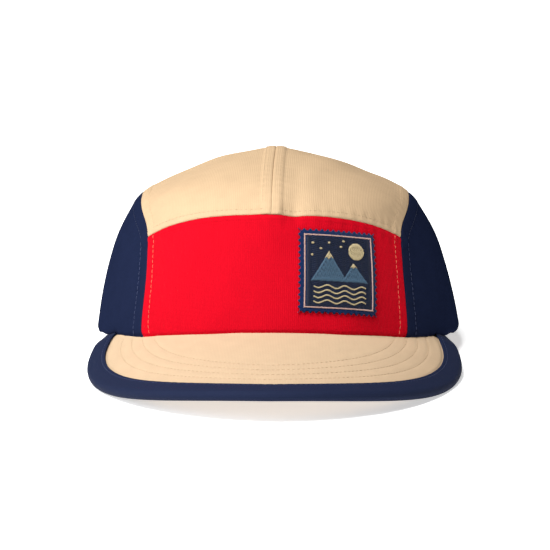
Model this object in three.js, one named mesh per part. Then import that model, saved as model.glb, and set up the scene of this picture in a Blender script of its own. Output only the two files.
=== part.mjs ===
// Five-panel cap with a short bound brim, in millimetres, +Z up, the brim pointing to -Y.
import * as THREE from 'three';

// Crown
const CROWN_HALF_WIDTH = 86.5;
const CROWN_HALF_LENGTH = 99;
const CROWN_HEIGHT = 86;
const CLOTH = 1.6;
const GAP = 0.3;
const SEAM_DIP = 0.5;
const SEAM_GAP = 0.4;

// Brim. Its sheet is a piece of a cylinder that slopes down to the front. Its outline is an ellipse
// at an outline power of 2, and more pointed at a lower one.
const BRIM_REACH = 72;
const BRIM_OVERHANG = 4.5;
const BRIM_HALF_SPAN = CROWN_HALF_WIDTH + BRIM_OVERHANG;
const BRIM_WIDEST_BACK = 26;
const BRIM_OUTLINE_POWER = 1.85;
const BRIM_SLOPE_DEG = 14;
const BRIM_ARCH_RADIUS = 158;
const BRIM_FRONT_RISE = 9.3;
const BRIM_CLOTH = 1.1;
const BINDING_CLOTH = 1.0;
const BINDING_WIDTH = 8;
const HEM_FADE_LENGTH = 18;

// Sweatband, opening at the back, strap and buckle
const SWEATBAND_HEIGHT = 28;
const SWEATBAND_CLOTH = 1.2;
const OPENING_HALF_WIDTH = 34;
const OPENING_HEIGHT = 42;
const STRAP_WIDTH = 19;
const STRAP_THICKNESS = 1.4;
const STRAP_TUCK = 12;
const STRAP_ABOVE_HEM = 5;
const BUCKLE_LENGTH = 26;
const BUCKLE_WALL = 1.6;

// Sewn patch with a perforated edge
const PATCH_WIDTH = 38;
const PATCH_HEIGHT = 38;
const PATCH_CLOTH = 1.0;
const PATCH_TEETH = 14;
const PATCH_TOOTH_DEPTH = 0.9;
const PATCH_TURN_DEG = 6.5;

// Steps of the grids that the pieces are drawn on
const FRONT_STEPS = { across: 20, along: 9 };
const TOP_STEPS = { overOpening: 4, besideOpening: 3, along: 19 };
const SIDE_STEPS = { across: 15, along: 9 };
const BAND_STEPS = 64;
const STRAP_STEPS = 16;
const BUCKLE_STEPS = 6;
const BRIM_STEPS = { across: 34, ahead: 6 };
const BINDING_STEPS = 44;
const FOLD_STEPS = 5;
const HALVINGS = 30;
const CLOSER_LOOKS = 6;

// Crown profiles from the top of the crown (share 0) to the hem (share 1). A reach is a share of
// the half width or half length, a rise is a share of the crown height.
const PROFILE_COLUMNS = [
  'share', 'frontReach', 'frontRise', 'sideReach', 'sideRise', 'backReach', 'backRise',
];
const PROFILE = [
  [0.00, 0.000, 1.000, 0.000, 1.000, 0.000, 1.000],
  [0.14, 0.245, 0.980, 0.212, 0.959, 0.235, 0.969],
  [0.28, 0.475, 0.946, 0.402, 0.900, 0.455, 0.907],
  [0.42, 0.692, 0.883, 0.582, 0.832, 0.650, 0.826],
  [0.50, 0.808, 0.816, 0.678, 0.787, 0.745, 0.768],
  [0.55, 0.876, 0.739, 0.739, 0.746, 0.795, 0.722],
  [0.60, 0.901, 0.656, 0.788, 0.685, 0.840, 0.663],
  [0.70, 0.929, 0.497, 0.868, 0.531, 0.905, 0.521],
  [0.80, 0.953, 0.341, 0.922, 0.365, 0.950, 0.360],
  [0.90, 0.978, 0.182, 0.963, 0.194, 0.982, 0.194],
  [1.00, 1.000, 0.000, 1.000, 0.000, 1.000, 0.000],
].map((row) => Object.fromEntries(PROFILE_COLUMNS.map((column, index) => [column, row[index]])));

// Seams as places on a unit disc laid over the crown: across is to the right, back is to the rear,
// and the hem is the rim of the disc.
const FRONT_FOOT_DEG = 44.8;
const BACK_FOOT_DEG = 143;
const JUNCTION = { across: 0.517, back: -0.421 };
const FRONT_SEAM = [
  { across: 0.000, back: -0.555 },
  { across: 0.100, back: -0.549 },
  { across: 0.207, back: -0.530 },
  { across: 0.310, back: -0.503 },
  { across: 0.420, back: -0.464 },
  JUNCTION,
];
const TOP_SEAM = [
  JUNCTION,
  { across: 0.512, back: -0.360 },
  { across: 0.525, back: -0.275 },
  { across: 0.537, back: -0.164 },
  { across: 0.543, back: 0.000 },
  { across: 0.540, back: 0.200 },
  { across: 0.536, back: 0.420 },
  { across: 0.556, back: 0.630 },
];
const SIDE_SEAM = [
  JUNCTION,
  { across: 0.573, back: -0.506 },
  { across: 0.682, back: -0.655 },
];
const PATCH_CENTRE = { across: 0.270, back: -0.702 };

const radians = THREE.MathUtils.degToRad;
const mix = THREE.MathUtils.lerp;
const smooth = THREE.MathUtils.smoothstep;
const vector = (x, y, z) => new THREE.Vector3(x, y, z);

// Value of one profile column at a share of the way down, as a smooth curve through the rows.
function profileValue(column, share) {
  const last = PROFILE.length - 1;
  const place = THREE.MathUtils.clamp(share, 0, 1);
  let row = 0;
  while (row < last - 1 && PROFILE[row + 1].share <= place) row += 1;
  const slope = (index) => {
    const before = PROFILE[Math.max(index - 1, 0)];
    const after = PROFILE[Math.min(index + 1, last)];
    const level = index === 0 && before[column] === 1;
    return level ? 0 : (after[column] - before[column]) / (after.share - before.share);
  };
  const from = PROFILE[row];
  const to = PROFILE[row + 1];
  const span = to.share - from.share;
  const t = (place - from.share) / span;
  const keep = (1 + 2 * t) * (1 - t) ** 2;
  const leave = t * (1 - t) ** 2 * span * slope(row);
  const arrive = t * t * (t - 1) * span * slope(row + 1);
  return keep * from[column] + (1 - keep) * to[column] + leave + arrive;
}

// Crown surface at a share of the way down, in the direction of an angle from the front.
function profilePoint(share, angle) {
  const lengthwise = Math.cos(angle) ** 2;
  const end = Math.cos(angle) > 0 ? 'front' : 'back';
  const blend = (kind) => mix(
    profileValue(`side${kind}`, share), profileValue(`${end}${kind}`, share), lengthwise);
  const reach = blend('Reach');
  return vector(
    CROWN_HALF_WIDTH * Math.sin(angle) * reach,
    -CROWN_HALF_LENGTH * Math.cos(angle) * reach,
    CROWN_HEIGHT * blend('Rise'));
}

// The brim sheet: arc runs round its cylinder from the middle, ahead runs down its slope, and lift
// is the height over the upper cloth. The sheet meets the front hem where both are zero.
const SLOPE = radians(BRIM_SLOPE_DEG);
const SHEET_NORMAL = vector(0, -Math.sin(SLOPE), Math.cos(SLOPE));
const SHEET_AHEAD = vector(0, -Math.cos(SLOPE), -Math.sin(SLOPE));
const SHEET_START = vector(0, -CROWN_HALF_LENGTH, BRIM_FRONT_RISE);

function brimPoint(arc, ahead, lift) {
  const turn = arc / BRIM_ARCH_RADIUS;
  const radius = BRIM_ARCH_RADIUS + lift;
  return SHEET_START.clone()
    .add(vector(radius * Math.sin(turn), 0, 0))
    .addScaledVector(SHEET_NORMAL, radius * Math.cos(turn) - BRIM_ARCH_RADIUS)
    .addScaledVector(SHEET_AHEAD, ahead);
}

// Where the lifted sheet lies over or under a place in plan.
function brimPlace(x, y, lift) {
  const radius = BRIM_ARCH_RADIUS + lift;
  const turn = Math.asin(THREE.MathUtils.clamp(x / radius, -1, 1));
  const rise = radius * Math.cos(turn) - BRIM_ARCH_RADIUS;
  const ahead = (y - SHEET_START.y - rise * SHEET_NORMAL.y) / SHEET_AHEAD.y;
  const height = SHEET_START.z + rise * SHEET_NORMAL.z + ahead * SHEET_AHEAD.z;
  return { arc: turn * BRIM_ARCH_RADIUS, ahead, height };
}

// Outline of the brim on its sheet, moved inwards by an inset.
const OUTLINE_LENGTH = BRIM_REACH + BRIM_WIDEST_BACK;
const signedPower = (value, power) => Math.sign(value) * Math.abs(value) ** power;

function brimOutline(angle, inset) {
  const across = signedPower(Math.sin(angle), 2 / BRIM_OUTLINE_POWER);
  const forward = signedPower(Math.cos(angle), 2 / BRIM_OUTLINE_POWER);
  const normal = new THREE.Vector2(
    signedPower(across, BRIM_OUTLINE_POWER - 1) / BRIM_HALF_SPAN,
    signedPower(forward, BRIM_OUTLINE_POWER - 1) / OUTLINE_LENGTH).normalize();
  return {
    arc: BRIM_HALF_SPAN * across - inset * normal.x,
    ahead: OUTLINE_LENGTH * forward - BRIM_WIDEST_BACK - inset * normal.y,
  };
}

function insetFromOutline(arc, ahead) {
  const across = Math.abs(arc / BRIM_HALF_SPAN) ** BRIM_OUTLINE_POWER;
  const forward = Math.abs((ahead + BRIM_WIDEST_BACK) / OUTLINE_LENGTH) ** BRIM_OUTLINE_POWER;
  return (1 - (across + forward) ** (1 / BRIM_OUTLINE_POWER)) * BRIM_HALF_SPAN;
}

// Halves a range until the test turns from true to false.
function lastTrue(low, high, test) {
  let from = low;
  let to = high;
  for (let step = 0; step < HALVINGS; step += 1) {
    const middle = (from + to) / 2;
    if (test(middle)) from = middle;
    else to = middle;
  }
  return (from + to) / 2;
}

// Section of the bound edge: both cloths of the brim, with the binding folded round them.
const BRIM_UNDER_TOP = -BRIM_CLOTH - GAP;
const BRIM_UNDER_BOTTOM = BRIM_UNDER_TOP - BRIM_CLOTH;
const BINDING_MIDDLE = BRIM_UNDER_BOTTOM / 2;
const BINDING_INNER_RADIUS = GAP - BINDING_MIDDLE;
const BINDING_OUTER_RADIUS = BINDING_INNER_RADIUS + BINDING_CLOTH;

// Depths of the layers that stand on the brim at the hem, measured in from the crown's outside.
const BAND_DEPTH = CLOTH + SEAM_DIP + GAP;
const HEM_DEPTH = BAND_DEPTH + SWEATBAND_CLOTH;

// The brim ends where its outline passes under the hem, between two angles of its outline.
const BRIM_END_FROM = radians(60);
const BRIM_END_TO = radians(170);
const insideHem = (x, y, depth) => Math.hypot(
  x / (CROWN_HALF_WIDTH - depth), y / (CROWN_HALF_LENGTH - depth)) < 1;
const BRIM_END_ANGLE = lastTrue(BRIM_END_FROM, BRIM_END_TO, (angle) => {
  const edge = brimOutline(angle, 0);
  const point = brimPoint(edge.arc, edge.ahead, 0);
  return !insideHem(point.x, point.y, 0);
});
const BRIM_END = (() => {
  const edge = brimOutline(BRIM_END_ANGLE, 0);
  return brimPoint(edge.arc, edge.ahead, 0);
})();
const BRIM_HEM_ANGLE = Math.atan2(BRIM_END.x / CROWN_HALF_WIDTH, -BRIM_END.y / CROWN_HALF_LENGTH);

// Height of the crown's lower edge: on the brim, over the binding near its ends, and level behind.
// It starts to climb over the binding at a few widths of the binding from the brim's edge.
const HEM_CLIMB_WIDTHS = 2;

function hemHeight(x, y) {
  const bare = brimPlace(x, y, GAP);
  const inset = insetFromOutline(bare.arc, bare.ahead);
  const bound = BINDING_WIDTH + BINDING_OUTER_RADIUS;
  const overBinding = 1 - smooth(inset, bound + GAP, HEM_CLIMB_WIDTHS * bound);
  const lift = GAP + overBinding * (BINDING_CLOTH + GAP);
  const behind = smooth(y, BRIM_END.y, BRIM_END.y + HEM_FADE_LENGTH);
  return behind < 1 ? (1 - behind) * brimPlace(x, y, lift).height : 0;
}

const HEM_SLIDE_START = 0.8;

function hemShare(angle) {
  return lastTrue(HEM_SLIDE_START, 1, (share) => {
    const point = profilePoint(share, angle);
    return point.z > hemHeight(point.x, point.y);
  });
}

// Crown surface over a place on the disc. Towards the rim the places slide up to the hem.
function crownPoint(across, back) {
  const share = Math.hypot(across, back);
  const angle = Math.atan2(across, -back);
  if (share <= HEM_SLIDE_START) return profilePoint(share, angle);
  const near = (share - HEM_SLIDE_START) / (1 - HEM_SLIDE_START);
  return profilePoint(share - near * near * (1 - hemShare(angle)), angle);
}

const NORMAL_STEP = 0.004;
const RIM_TOLERANCE = 1e-6;

function crownNormal(across, back) {
  const share = Math.hypot(across, back);
  const inward = share > 1 - NORMAL_STEP ? (1 - NORMAL_STEP) / share : 1;
  const a = across * inward;
  const b = back * inward;
  const rightward = crownPoint(a + NORMAL_STEP, b).sub(crownPoint(a - NORMAL_STEP, b));
  const rearward = crownPoint(a, b + NORMAL_STEP).sub(crownPoint(a, b - NORMAL_STEP));
  return rightward.cross(rearward).normalize();
}

// A place on the crown, moved in along the normal. On the rim it is set back on the hem's level.
function crownInside(across, back, depth) {
  const point = crownPoint(across, back).addScaledVector(crownNormal(across, back), -depth);
  if (Math.hypot(across, back) > 1 - RIM_TOLERANCE) point.z = hemHeight(point.x, point.y);
  return point;
}

// Closed geometry from corner points and triangles, with its faces turned outwards.
function closedGeometry(points, triangles) {
  let volume = 0;
  for (const [a, b, c] of triangles) {
    volume += points[a].dot(new THREE.Vector3().crossVectors(points[b], points[c]));
  }
  const order = volume > 0 ? [0, 1, 2] : [0, 2, 1];
  const geometry = new THREE.BufferGeometry();
  const flat = points.flatMap((point) => point.toArray());
  geometry.setAttribute('position', new THREE.Float32BufferAttribute(flat, 3));
  geometry.setIndex(triangles.flatMap((triangle) => order.map((corner) => triangle[corner])));
  geometry.computeVertexNormals();
  return geometry;
}

// Solid sheet between an outer and an inner grid of points. A closed one wraps round across.
function sheetSolid(outer, inner, closed = false) {
  const rows = outer.length;
  const columns = outer[0].length;
  const points = [...outer.flat(), ...inner.flat()];
  const inside = rows * columns;
  const at = (row, column) => row * columns + (column % columns);
  const triangles = [];
  const quad = (a, b, c, d) => triangles.push([a, b, c], [a, c, d]);
  const lastColumn = closed ? columns : columns - 1;
  for (let row = 0; row < rows - 1; row += 1) {
    for (let column = 0; column < lastColumn; column += 1) {
      const corners = [
        at(row, column), at(row, column + 1), at(row + 1, column + 1), at(row + 1, column)];
      quad(...corners);
      const [a, b, c, d] = corners.map((corner) => corner + inside);
      triangles.push([a, c, b], [a, d, c]);
    }
  }
  for (let column = 0; column < lastColumn; column += 1) {
    const [a, b] = [at(0, column), at(0, column + 1)];
    const [c, d] = [at(rows - 1, column), at(rows - 1, column + 1)];
    quad(b, a, a + inside, b + inside);
    quad(c, d, d + inside, c + inside);
  }
  for (let row = 0; row < rows - 1 && !closed; row += 1) {
    const [a, b] = [at(row, 0), at(row + 1, 0)];
    const [c, d] = [at(row, columns - 1), at(row + 1, columns - 1)];
    quad(a, b, b + inside, a + inside);
    quad(d, c, c + inside, d + inside);
  }
  return closedGeometry(points, triangles);
}

function mirrored(geometry) {
  const position = geometry.getAttribute('position');
  const points = [];
  for (let index = 0; index < position.count; index += 1) {
    points.push(vector(-position.getX(index), position.getY(index), position.getZ(index)));
  }
  const corners = geometry.getIndex().array;
  const triangles = [];
  for (let index = 0; index < corners.length; index += 3) {
    triangles.push([corners[index], corners[index + 1], corners[index + 2]]);
  }
  return closedGeometry(points, triangles);
}

// Shares from 0 to 1, even apart from a narrow first and last step where an edge share is given.
function stations(count, firstEdge, lastEdge) {
  const inner = count - (firstEdge ? 1 : 0) - (lastEdge ? 1 : 0);
  const shares = firstEdge ? [0] : [];
  for (let step = 0; step <= inner; step += 1) {
    shares.push(mix(firstEdge, 1 - lastEdge, step / inner));
  }
  return lastEdge ? [...shares, 1] : shares;
}

const discPlace = ({ across, back }) => new THREE.Vector2(across, back);
const rimPlace = (angle) => new THREE.Vector2(Math.sin(angle), -Math.cos(angle));
const curveThrough = (rows, end) => new THREE.SplineCurve([...rows.map(discPlace), ...end]);

const FRONT_FOOT = rimPlace(radians(FRONT_FOOT_DEG));
const BACK_FOOT = rimPlace(radians(BACK_FOOT_DEG));
const frontSeam = curveThrough(FRONT_SEAM, []);
const topSeam = curveThrough(TOP_SEAM, [BACK_FOOT]);
const sideSeam = curveThrough(SIDE_SEAM, [FRONT_FOOT]);

// The opening at the back, as the half angle and the share of the profile that it takes.
const OPENING_HALF_ANGLE = Math.asin(OPENING_HALF_WIDTH / CROWN_HALF_WIDTH);
const OPENING_TOP_SHARE = lastTrue(0, 1, (share) => profilePoint(share, Math.PI).z > OPENING_HEIGHT);

function openingPlace(turn) {
  const angle = Math.PI - OPENING_HALF_ANGLE * Math.cos(turn);
  const share = 1 - (1 - OPENING_TOP_SHARE) * Math.sin(turn);
  return rimPlace(angle).multiplyScalar(share);
}

// Places of a panel between its four edges, each edge a function of a share.
function patchPlace({ near, far, left, right }, u, v) {
  const corner = near(0).multiplyScalar((1 - u) * (1 - v))
    .addScaledVector(near(1), u * (1 - v))
    .addScaledVector(far(0), (1 - u) * v)
    .addScaledVector(far(1), u * v);
  return near(u).multiplyScalar(1 - v)
    .addScaledVector(far(u), v)
    .addScaledVector(left(v), 1 - u)
    .addScaledVector(right(v), u)
    .sub(corner);
}

// Moves an edge place towards its neighbour by half the seam gap.
function drawnIn(place, neighbour) {
  const step = neighbour.clone().sub(place);
  const length = crownPoint(place.x, place.y).distanceTo(crownPoint(neighbour.x, neighbour.y));
  return place.clone().addScaledVector(step, SEAM_GAP / 2 / length);
}

// One crown panel of cloth. Its sewn edges lie a little deeper than its middle.
function panelSolid(edges, across, along, sewn) {
  const last = { u: across.length - 1, v: along.length - 1 };
  const places = along.map((v) => across.map((u) => patchPlace(edges, u, v)));
  const outer = [];
  const inner = [];
  places.forEach((row, v) => {
    const outerRow = [];
    const innerRow = [];
    row.forEach((place, u) => {
      let moved = place;
      let depth = 0;
      const onRim = place.length() > 1 - RIM_TOLERANCE;
      const seat = (neighbour) => {
        moved = drawnIn(moved, neighbour);
        if (onRim) moved.setLength(1);
        depth = SEAM_DIP;
      };
      if (sewn.left && u === 0) seat(row[1]);
      if (sewn.right && u === last.u) seat(row[last.u - 1]);
      if (sewn.near && v === 0) seat(places[1][u]);
      if (sewn.far && v === last.v) seat(places[last.v - 1][u]);
      outerRow.push(crownInside(moved.x, moved.y, depth));
      innerRow.push(crownInside(moved.x, moved.y, depth + CLOTH));
    });
    outer.push(outerRow);
    inner.push(innerRow);
  });
  return sheetSolid(outer, inner);
}

// Share of a panel that the narrow strip beside a sewn edge takes.
const SEAM_EDGE = 0.06;

function frontPanel() {
  const signed = (curve, share) => {
    const place = curve.getPointAt(Math.abs(share));
    return share < 0 ? new THREE.Vector2(-place.x, place.y) : place;
  };
  const edges = {
    near: (u) => rimPlace(radians(FRONT_FOOT_DEG) * (2 * u - 1)),
    far: (u) => signed(frontSeam, 2 * u - 1),
    left: (v) => {
      const place = sideSeam.getPointAt(1 - v);
      return new THREE.Vector2(-place.x, place.y);
    },
    right: (v) => sideSeam.getPointAt(1 - v),
  };
  const across = stations(FRONT_STEPS.across, SEAM_EDGE / 2, SEAM_EDGE / 2);
  const along = stations(FRONT_STEPS.along, 0, SEAM_EDGE);
  return panelSolid(edges, across, along, { left: true, right: true, far: true });
}

// Shares of the top panel's back edge: the first wide step, and what runs round the opening.
const FIRST_WIDE_STEP = 0.15;
const OPENING_EDGE = 0.6;

function topPanelRight() {
  const backEdge = (u) => {
    if (u <= OPENING_EDGE) return openingPlace((1 - u / OPENING_EDGE) * Math.PI / 2);
    const share = (u - OPENING_EDGE) / (1 - OPENING_EDGE);
    return rimPlace(mix(Math.PI - OPENING_HALF_ANGLE, radians(BACK_FOOT_DEG), share));
  };
  const edges = {
    near: (u) => frontSeam.getPointAt(u),
    far: backEdge,
    left: (v) => new THREE.Vector2(0, mix(FRONT_SEAM[0].back, OPENING_TOP_SHARE, v)),
    right: (v) => topSeam.getPointAt(v),
  };
  const over = stations(TOP_STEPS.overOpening, 0, 0);
  const beside = stations(TOP_STEPS.besideOpening, 0, 0).slice(1);
  const across = [
    0,
    SEAM_EDGE,
    ...over.map((u) => mix(FIRST_WIDE_STEP, OPENING_EDGE, u)),
    ...beside.map((u) => mix(OPENING_EDGE, 1 - SEAM_EDGE, u)),
    1,
  ];
  const along = stations(TOP_STEPS.along, SEAM_EDGE / 2, 0);
  return panelSolid(edges, across, along, { near: true, left: true, right: true });
}

// Share of the top seam where the back edge of the side panel starts.
const SIDE_BACK_START = 0.8;

function sidePanelRight() {
  const edges = {
    near: (u) => rimPlace(mix(radians(FRONT_FOOT_DEG), radians(BACK_FOOT_DEG), u)),
    far: (u) => topSeam.getPointAt(u * SIDE_BACK_START),
    left: (v) => sideSeam.getPointAt(1 - v),
    right: (v) => topSeam.getPointAt(mix(1, SIDE_BACK_START, v)),
  };
  const across = stations(SIDE_STEPS.across, SEAM_EDGE / 2, SEAM_EDGE / 2);
  const along = stations(SIDE_STEPS.along, 0, SEAM_EDGE);
  return panelSolid(edges, across, along, { left: true, right: true, far: true });
}

// A point a given height over the hem, in the direction of an angle, moved in by a depth.
function bandPoint(angle, height, depth) {
  const foot = crownPoint(Math.sin(angle), -Math.cos(angle));
  const share = height <= 0 ? 1 : lastTrue(
    0, 1, (part) => crownPoint(part * Math.sin(angle), -part * Math.cos(angle)).z > foot.z + height);
  return crownInside(share * Math.sin(angle), -share * Math.cos(angle), depth);
}

// Angle from the front of a place on the hem that lies a distance past the opening's edge.
const pastOpening = (distance) => Math.PI - Math.asin(
  (OPENING_HALF_WIDTH + distance) / CROWN_HALF_WIDTH);

// The band hangs inside the hem and makes room for the tucked strap ends.
function sweatband() {
  const end = pastOpening(GAP);
  const roomFull = pastOpening(STRAP_TUCK + 2 * STRAP_THICKNESS);
  const roomStart = pastOpening(2 * STRAP_TUCK);
  const heights = [0, SWEATBAND_HEIGHT / 2, SWEATBAND_HEIGHT];
  const angles = stations(BAND_STEPS, 0, 0).map((share) => mix(-end, end, share));
  const grid = (extra) => heights.map((height) => angles.map((angle) => {
    const room = smooth(Math.abs(angle), roomStart, roomFull) * (STRAP_THICKNESS + 2 * GAP);
    return bandPoint(angle, height, BAND_DEPTH + room + extra);
  }));
  return sheetSolid(grid(0), grid(SWEATBAND_CLOTH));
}

// The strap crosses the opening on the inside of the crown, with its ends behind the panels.
function strapPoint(angle, height, depth) {
  return bandPoint(angle, STRAP_ABOVE_HEM + height, BAND_DEPTH + depth);
}

function backStrap() {
  const end = pastOpening(STRAP_TUCK);
  const angles = stations(STRAP_STEPS, 0, 0).map((share) => mix(end, 2 * Math.PI - end, share));
  const heights = [0, STRAP_WIDTH];
  const grid = (depth) => heights.map((height) => angles.map(
    (angle) => strapPoint(angle, height, depth)));
  return sheetSolid(grid(0), grid(STRAP_THICKNESS));
}

// The buckle is one plain sleeve round the middle of the strap.
function strapBuckle() {
  const halfAngle = BUCKLE_LENGTH / 2 / CROWN_HALF_WIDTH;
  const angles = stations(BUCKLE_STEPS, 0, 0).map((share) => Math.PI + mix(-halfAngle, halfAngle, share));
  const loop = (margin, bevel) => {
    const low = -margin;
    const high = STRAP_WIDTH + margin;
    const front = -margin;
    const rear = STRAP_THICKNESS + margin;
    return [
      [low + bevel, front], [high - bevel, front], [high, front + bevel], [high, rear - bevel],
      [high - bevel, rear], [low + bevel, rear], [low, rear - bevel], [low, front + bevel],
    ];
  };
  const grid = (margin, bevel) => angles.map((angle) => loop(margin, bevel).map(
    ([height, depth]) => strapPoint(angle, height, depth)));
  return sheetSolid(grid(GAP + BUCKLE_WALL, BUCKLE_WALL / 2), grid(GAP, GAP / 2), true);
}

// One cloth of the brim, from under the crown's hem to the fold of the binding.
function brimSheet(top, bottom) {
  const turns = stations(BRIM_STEPS.across, 0, 0).map((share) => 2 * share - 1);
  const across = stations(BRIM_STEPS.ahead, 0, 0);
  const grid = (lift) => across.map((share) => turns.map((turn) => {
    const hemAngle = turn * BRIM_HEM_ANGLE;
    const inner = brimPlace(
      (CROWN_HALF_WIDTH - HEM_DEPTH) * Math.sin(hemAngle),
      -(CROWN_HALF_LENGTH - HEM_DEPTH) * Math.cos(hemAngle), 0);
    const outer = brimOutline(turn * BRIM_END_ANGLE, BINDING_OUTER_RADIUS);
    return brimPoint(mix(inner.arc, outer.arc, share), mix(inner.ahead, outer.ahead, share), lift);
  }));
  return sheetSolid(grid(top), grid(bottom));
}

// Width of the binding's legs, which narrow where the brim runs out under the hem.
function bindingWidth(angle) {
  return lastTrue(0, BINDING_WIDTH, (width) => {
    const edge = brimOutline(angle, BINDING_OUTER_RADIUS + width);
    const point = brimPoint(edge.arc, edge.ahead, 0);
    return !insideHem(point.x, point.y, HEM_DEPTH);
  });
}

// The binding is a strip of cloth folded round the edge of the brim, drawn as one section swept
// along the outline.
function brimBinding() {
  const turns = stations(BINDING_STEPS, 0, 0).map((share) => (2 * share - 1) * BRIM_END_ANGLE);
  const bends = stations(FOLD_STEPS, 0, 0).map((share) => share * Math.PI);
  const section = (angle, radius) => {
    const width = bindingWidth(angle);
    const place = (inset, lift) => {
      const edge = brimOutline(angle, BINDING_OUTER_RADIUS + inset);
      return brimPoint(edge.arc, edge.ahead, BINDING_MIDDLE + lift);
    };
    return [
      place(width, radius), place(width / 2, radius),
      ...bends.map((bend) => place(-radius * Math.sin(bend), radius * Math.cos(bend))),
      place(width / 2, -radius), place(width, -radius),
    ];
  };
  const grid = (radius) => turns.map((angle) => section(angle, radius));
  return sheetSolid(grid(BINDING_OUTER_RADIUS), grid(BINDING_INNER_RADIUS));
}

// Place on the crown that lies over a point of the plane that touches it at the patch's centre.
const patchFrame = (() => {
  const centre = crownPoint(PATCH_CENTRE.across, PATCH_CENTRE.back);
  const normal = crownNormal(PATCH_CENTRE.across, PATCH_CENTRE.back);
  const level = new THREE.Vector3().crossVectors(vector(0, 0, 1), normal).normalize();
  const right = level.applyAxisAngle(normal, -radians(PATCH_TURN_DEG));
  const up = new THREE.Vector3().crossVectors(normal, right);
  return { centre, right, up };
})();

function patchDiscPlace(right, up) {
  const offset = (place) => {
    const away = crownPoint(place.x, place.y).sub(patchFrame.centre);
    return new THREE.Vector2(away.dot(patchFrame.right) - right, away.dot(patchFrame.up) - up);
  };
  const place = discPlace(PATCH_CENTRE);
  for (let step = 0; step < CLOSER_LOOKS; step += 1) {
    const miss = offset(place);
    const a = offset(place.clone().add(new THREE.Vector2(NORMAL_STEP, 0))).sub(miss);
    const b = offset(place.clone().add(new THREE.Vector2(0, NORMAL_STEP))).sub(miss);
    const area = a.x * b.y - a.y * b.x;
    place.x -= NORMAL_STEP * (miss.x * b.y - miss.y * b.x) / area;
    place.y -= NORMAL_STEP * (a.x * miss.y - a.y * miss.x) / area;
  }
  return place;
}

// Outline of the patch: a rectangle whose edge has round bites like a torn-off stamp. A bite is a
// row of depths, each a share of the full one.
const BITE = [0.2, 1, 1, 0.2];

function patchOutline() {
  const halfWidth = PATCH_WIDTH / 2;
  const halfHeight = PATCH_HEIGHT / 2;
  const sides = [
    { start: [-1, -1], step: [1, 0], inward: [0, 1] },
    { start: [1, -1], step: [0, 1], inward: [-1, 0] },
    { start: [1, 1], step: [-1, 0], inward: [0, -1] },
    { start: [-1, 1], step: [0, -1], inward: [1, 0] },
  ];
  const points = [];
  for (const { start, step, inward } of sides) {
    for (let tooth = 0; tooth < PATCH_TEETH; tooth += 1) {
      BITE.forEach((depth, part) => {
        const along = 2 * (tooth + part / BITE.length) / PATCH_TEETH;
        const corner = tooth === 0 && part === 0;
        const into = corner ? 0 : depth * PATCH_TOOTH_DEPTH;
        points.push([
          (start[0] + step[0] * along) * halfWidth + inward[0] * into,
          (start[1] + step[1] * along) * halfHeight + inward[1] * into,
        ]);
      });
    }
  }
  return points;
}

// The patch's face is a grid of square cells inside a ring that reaches its rim.
const RING_WIDTH = 2 * PATCH_TOOTH_DEPTH;

function patch() {
  const cells = PATCH_TEETH / 2;
  const core = 1 - 2 * RING_WIDTH / PATCH_WIDTH;
  const flat = patchOutline();
  const rimCount = flat.length;
  const gridStart = rimCount;
  for (let row = 0; row <= cells; row += 1) {
    for (let column = 0; column <= cells; column += 1) {
      flat.push([
        (2 * column / cells - 1) * core * PATCH_WIDTH / 2,
        (2 * row / cells - 1) * core * PATCH_HEIGHT / 2,
      ]);
    }
  }
  const at = (row, column) => gridStart + row * (cells + 1) + column;
  const face = [];
  for (let row = 0; row < cells; row += 1) {
    for (let column = 0; column < cells; column += 1) {
      face.push([at(row, column), at(row, column + 1), at(row + 1, column + 1)]);
      face.push([at(row, column), at(row + 1, column + 1), at(row + 1, column)]);
    }
  }
  const ring = [];
  for (let step = 0; step < cells; step += 1) ring.push(at(0, step));
  for (let step = 0; step < cells; step += 1) ring.push(at(step, cells));
  for (let step = 0; step < cells; step += 1) ring.push(at(cells, cells - step));
  for (let step = 0; step < cells; step += 1) ring.push(at(cells - step, 0));
  const share = rimCount / ring.length;
  ring.forEach((inner, index) => {
    const next = ring[(index + 1) % ring.length];
    const turn = (index + 0.5) * share;
    for (let rim = index * share; rim < (index + 1) * share; rim += 1) {
      face.push([rim, (rim + 1) % rimCount, rim < turn ? inner : next]);
    }
    face.push([inner, turn, next]);
  });
  const count = flat.length;
  const lifted = (height) => flat.map(([right, up]) => {
    const place = patchDiscPlace(right, up);
    return crownInside(place.x, place.y, -height);
  });
  const points = [...lifted(GAP + PATCH_CLOTH), ...lifted(GAP)];
  const triangles = [...face, ...face.map(([a, b, c]) => [a + count, c + count, b + count])];
  for (let rim = 0; rim < rimCount; rim += 1) {
    const next = (rim + 1) % rimCount;
    triangles.push([rim, rim + count, next + count], [rim, next + count, next]);
  }
  return closedGeometry(points, triangles);
}

function cloth(colour, roughness) {
  return new THREE.MeshStandardMaterial({ color: new THREE.Color(colour), roughness, metalness: 0 });
}

const MATERIALS = {
  redCanvas: cloth('#e00c20', 0.85),
  tanCanvas: cloth('#ecd2a6', 0.85),
  navyCanvas: cloth('#232f55', 0.85),
  navyWebbing: cloth('#1c2544', 0.8),
  patchCloth: cloth('#1c2f63', 0.8),
  darkBuckle: new THREE.MeshStandardMaterial({ color: '#23252b', roughness: 0.45, metalness: 0 }),
};

function piece(name, geometry, material) {
  const mesh = new THREE.Mesh(geometry, material);
  mesh.name = name;
  return mesh;
}

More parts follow.
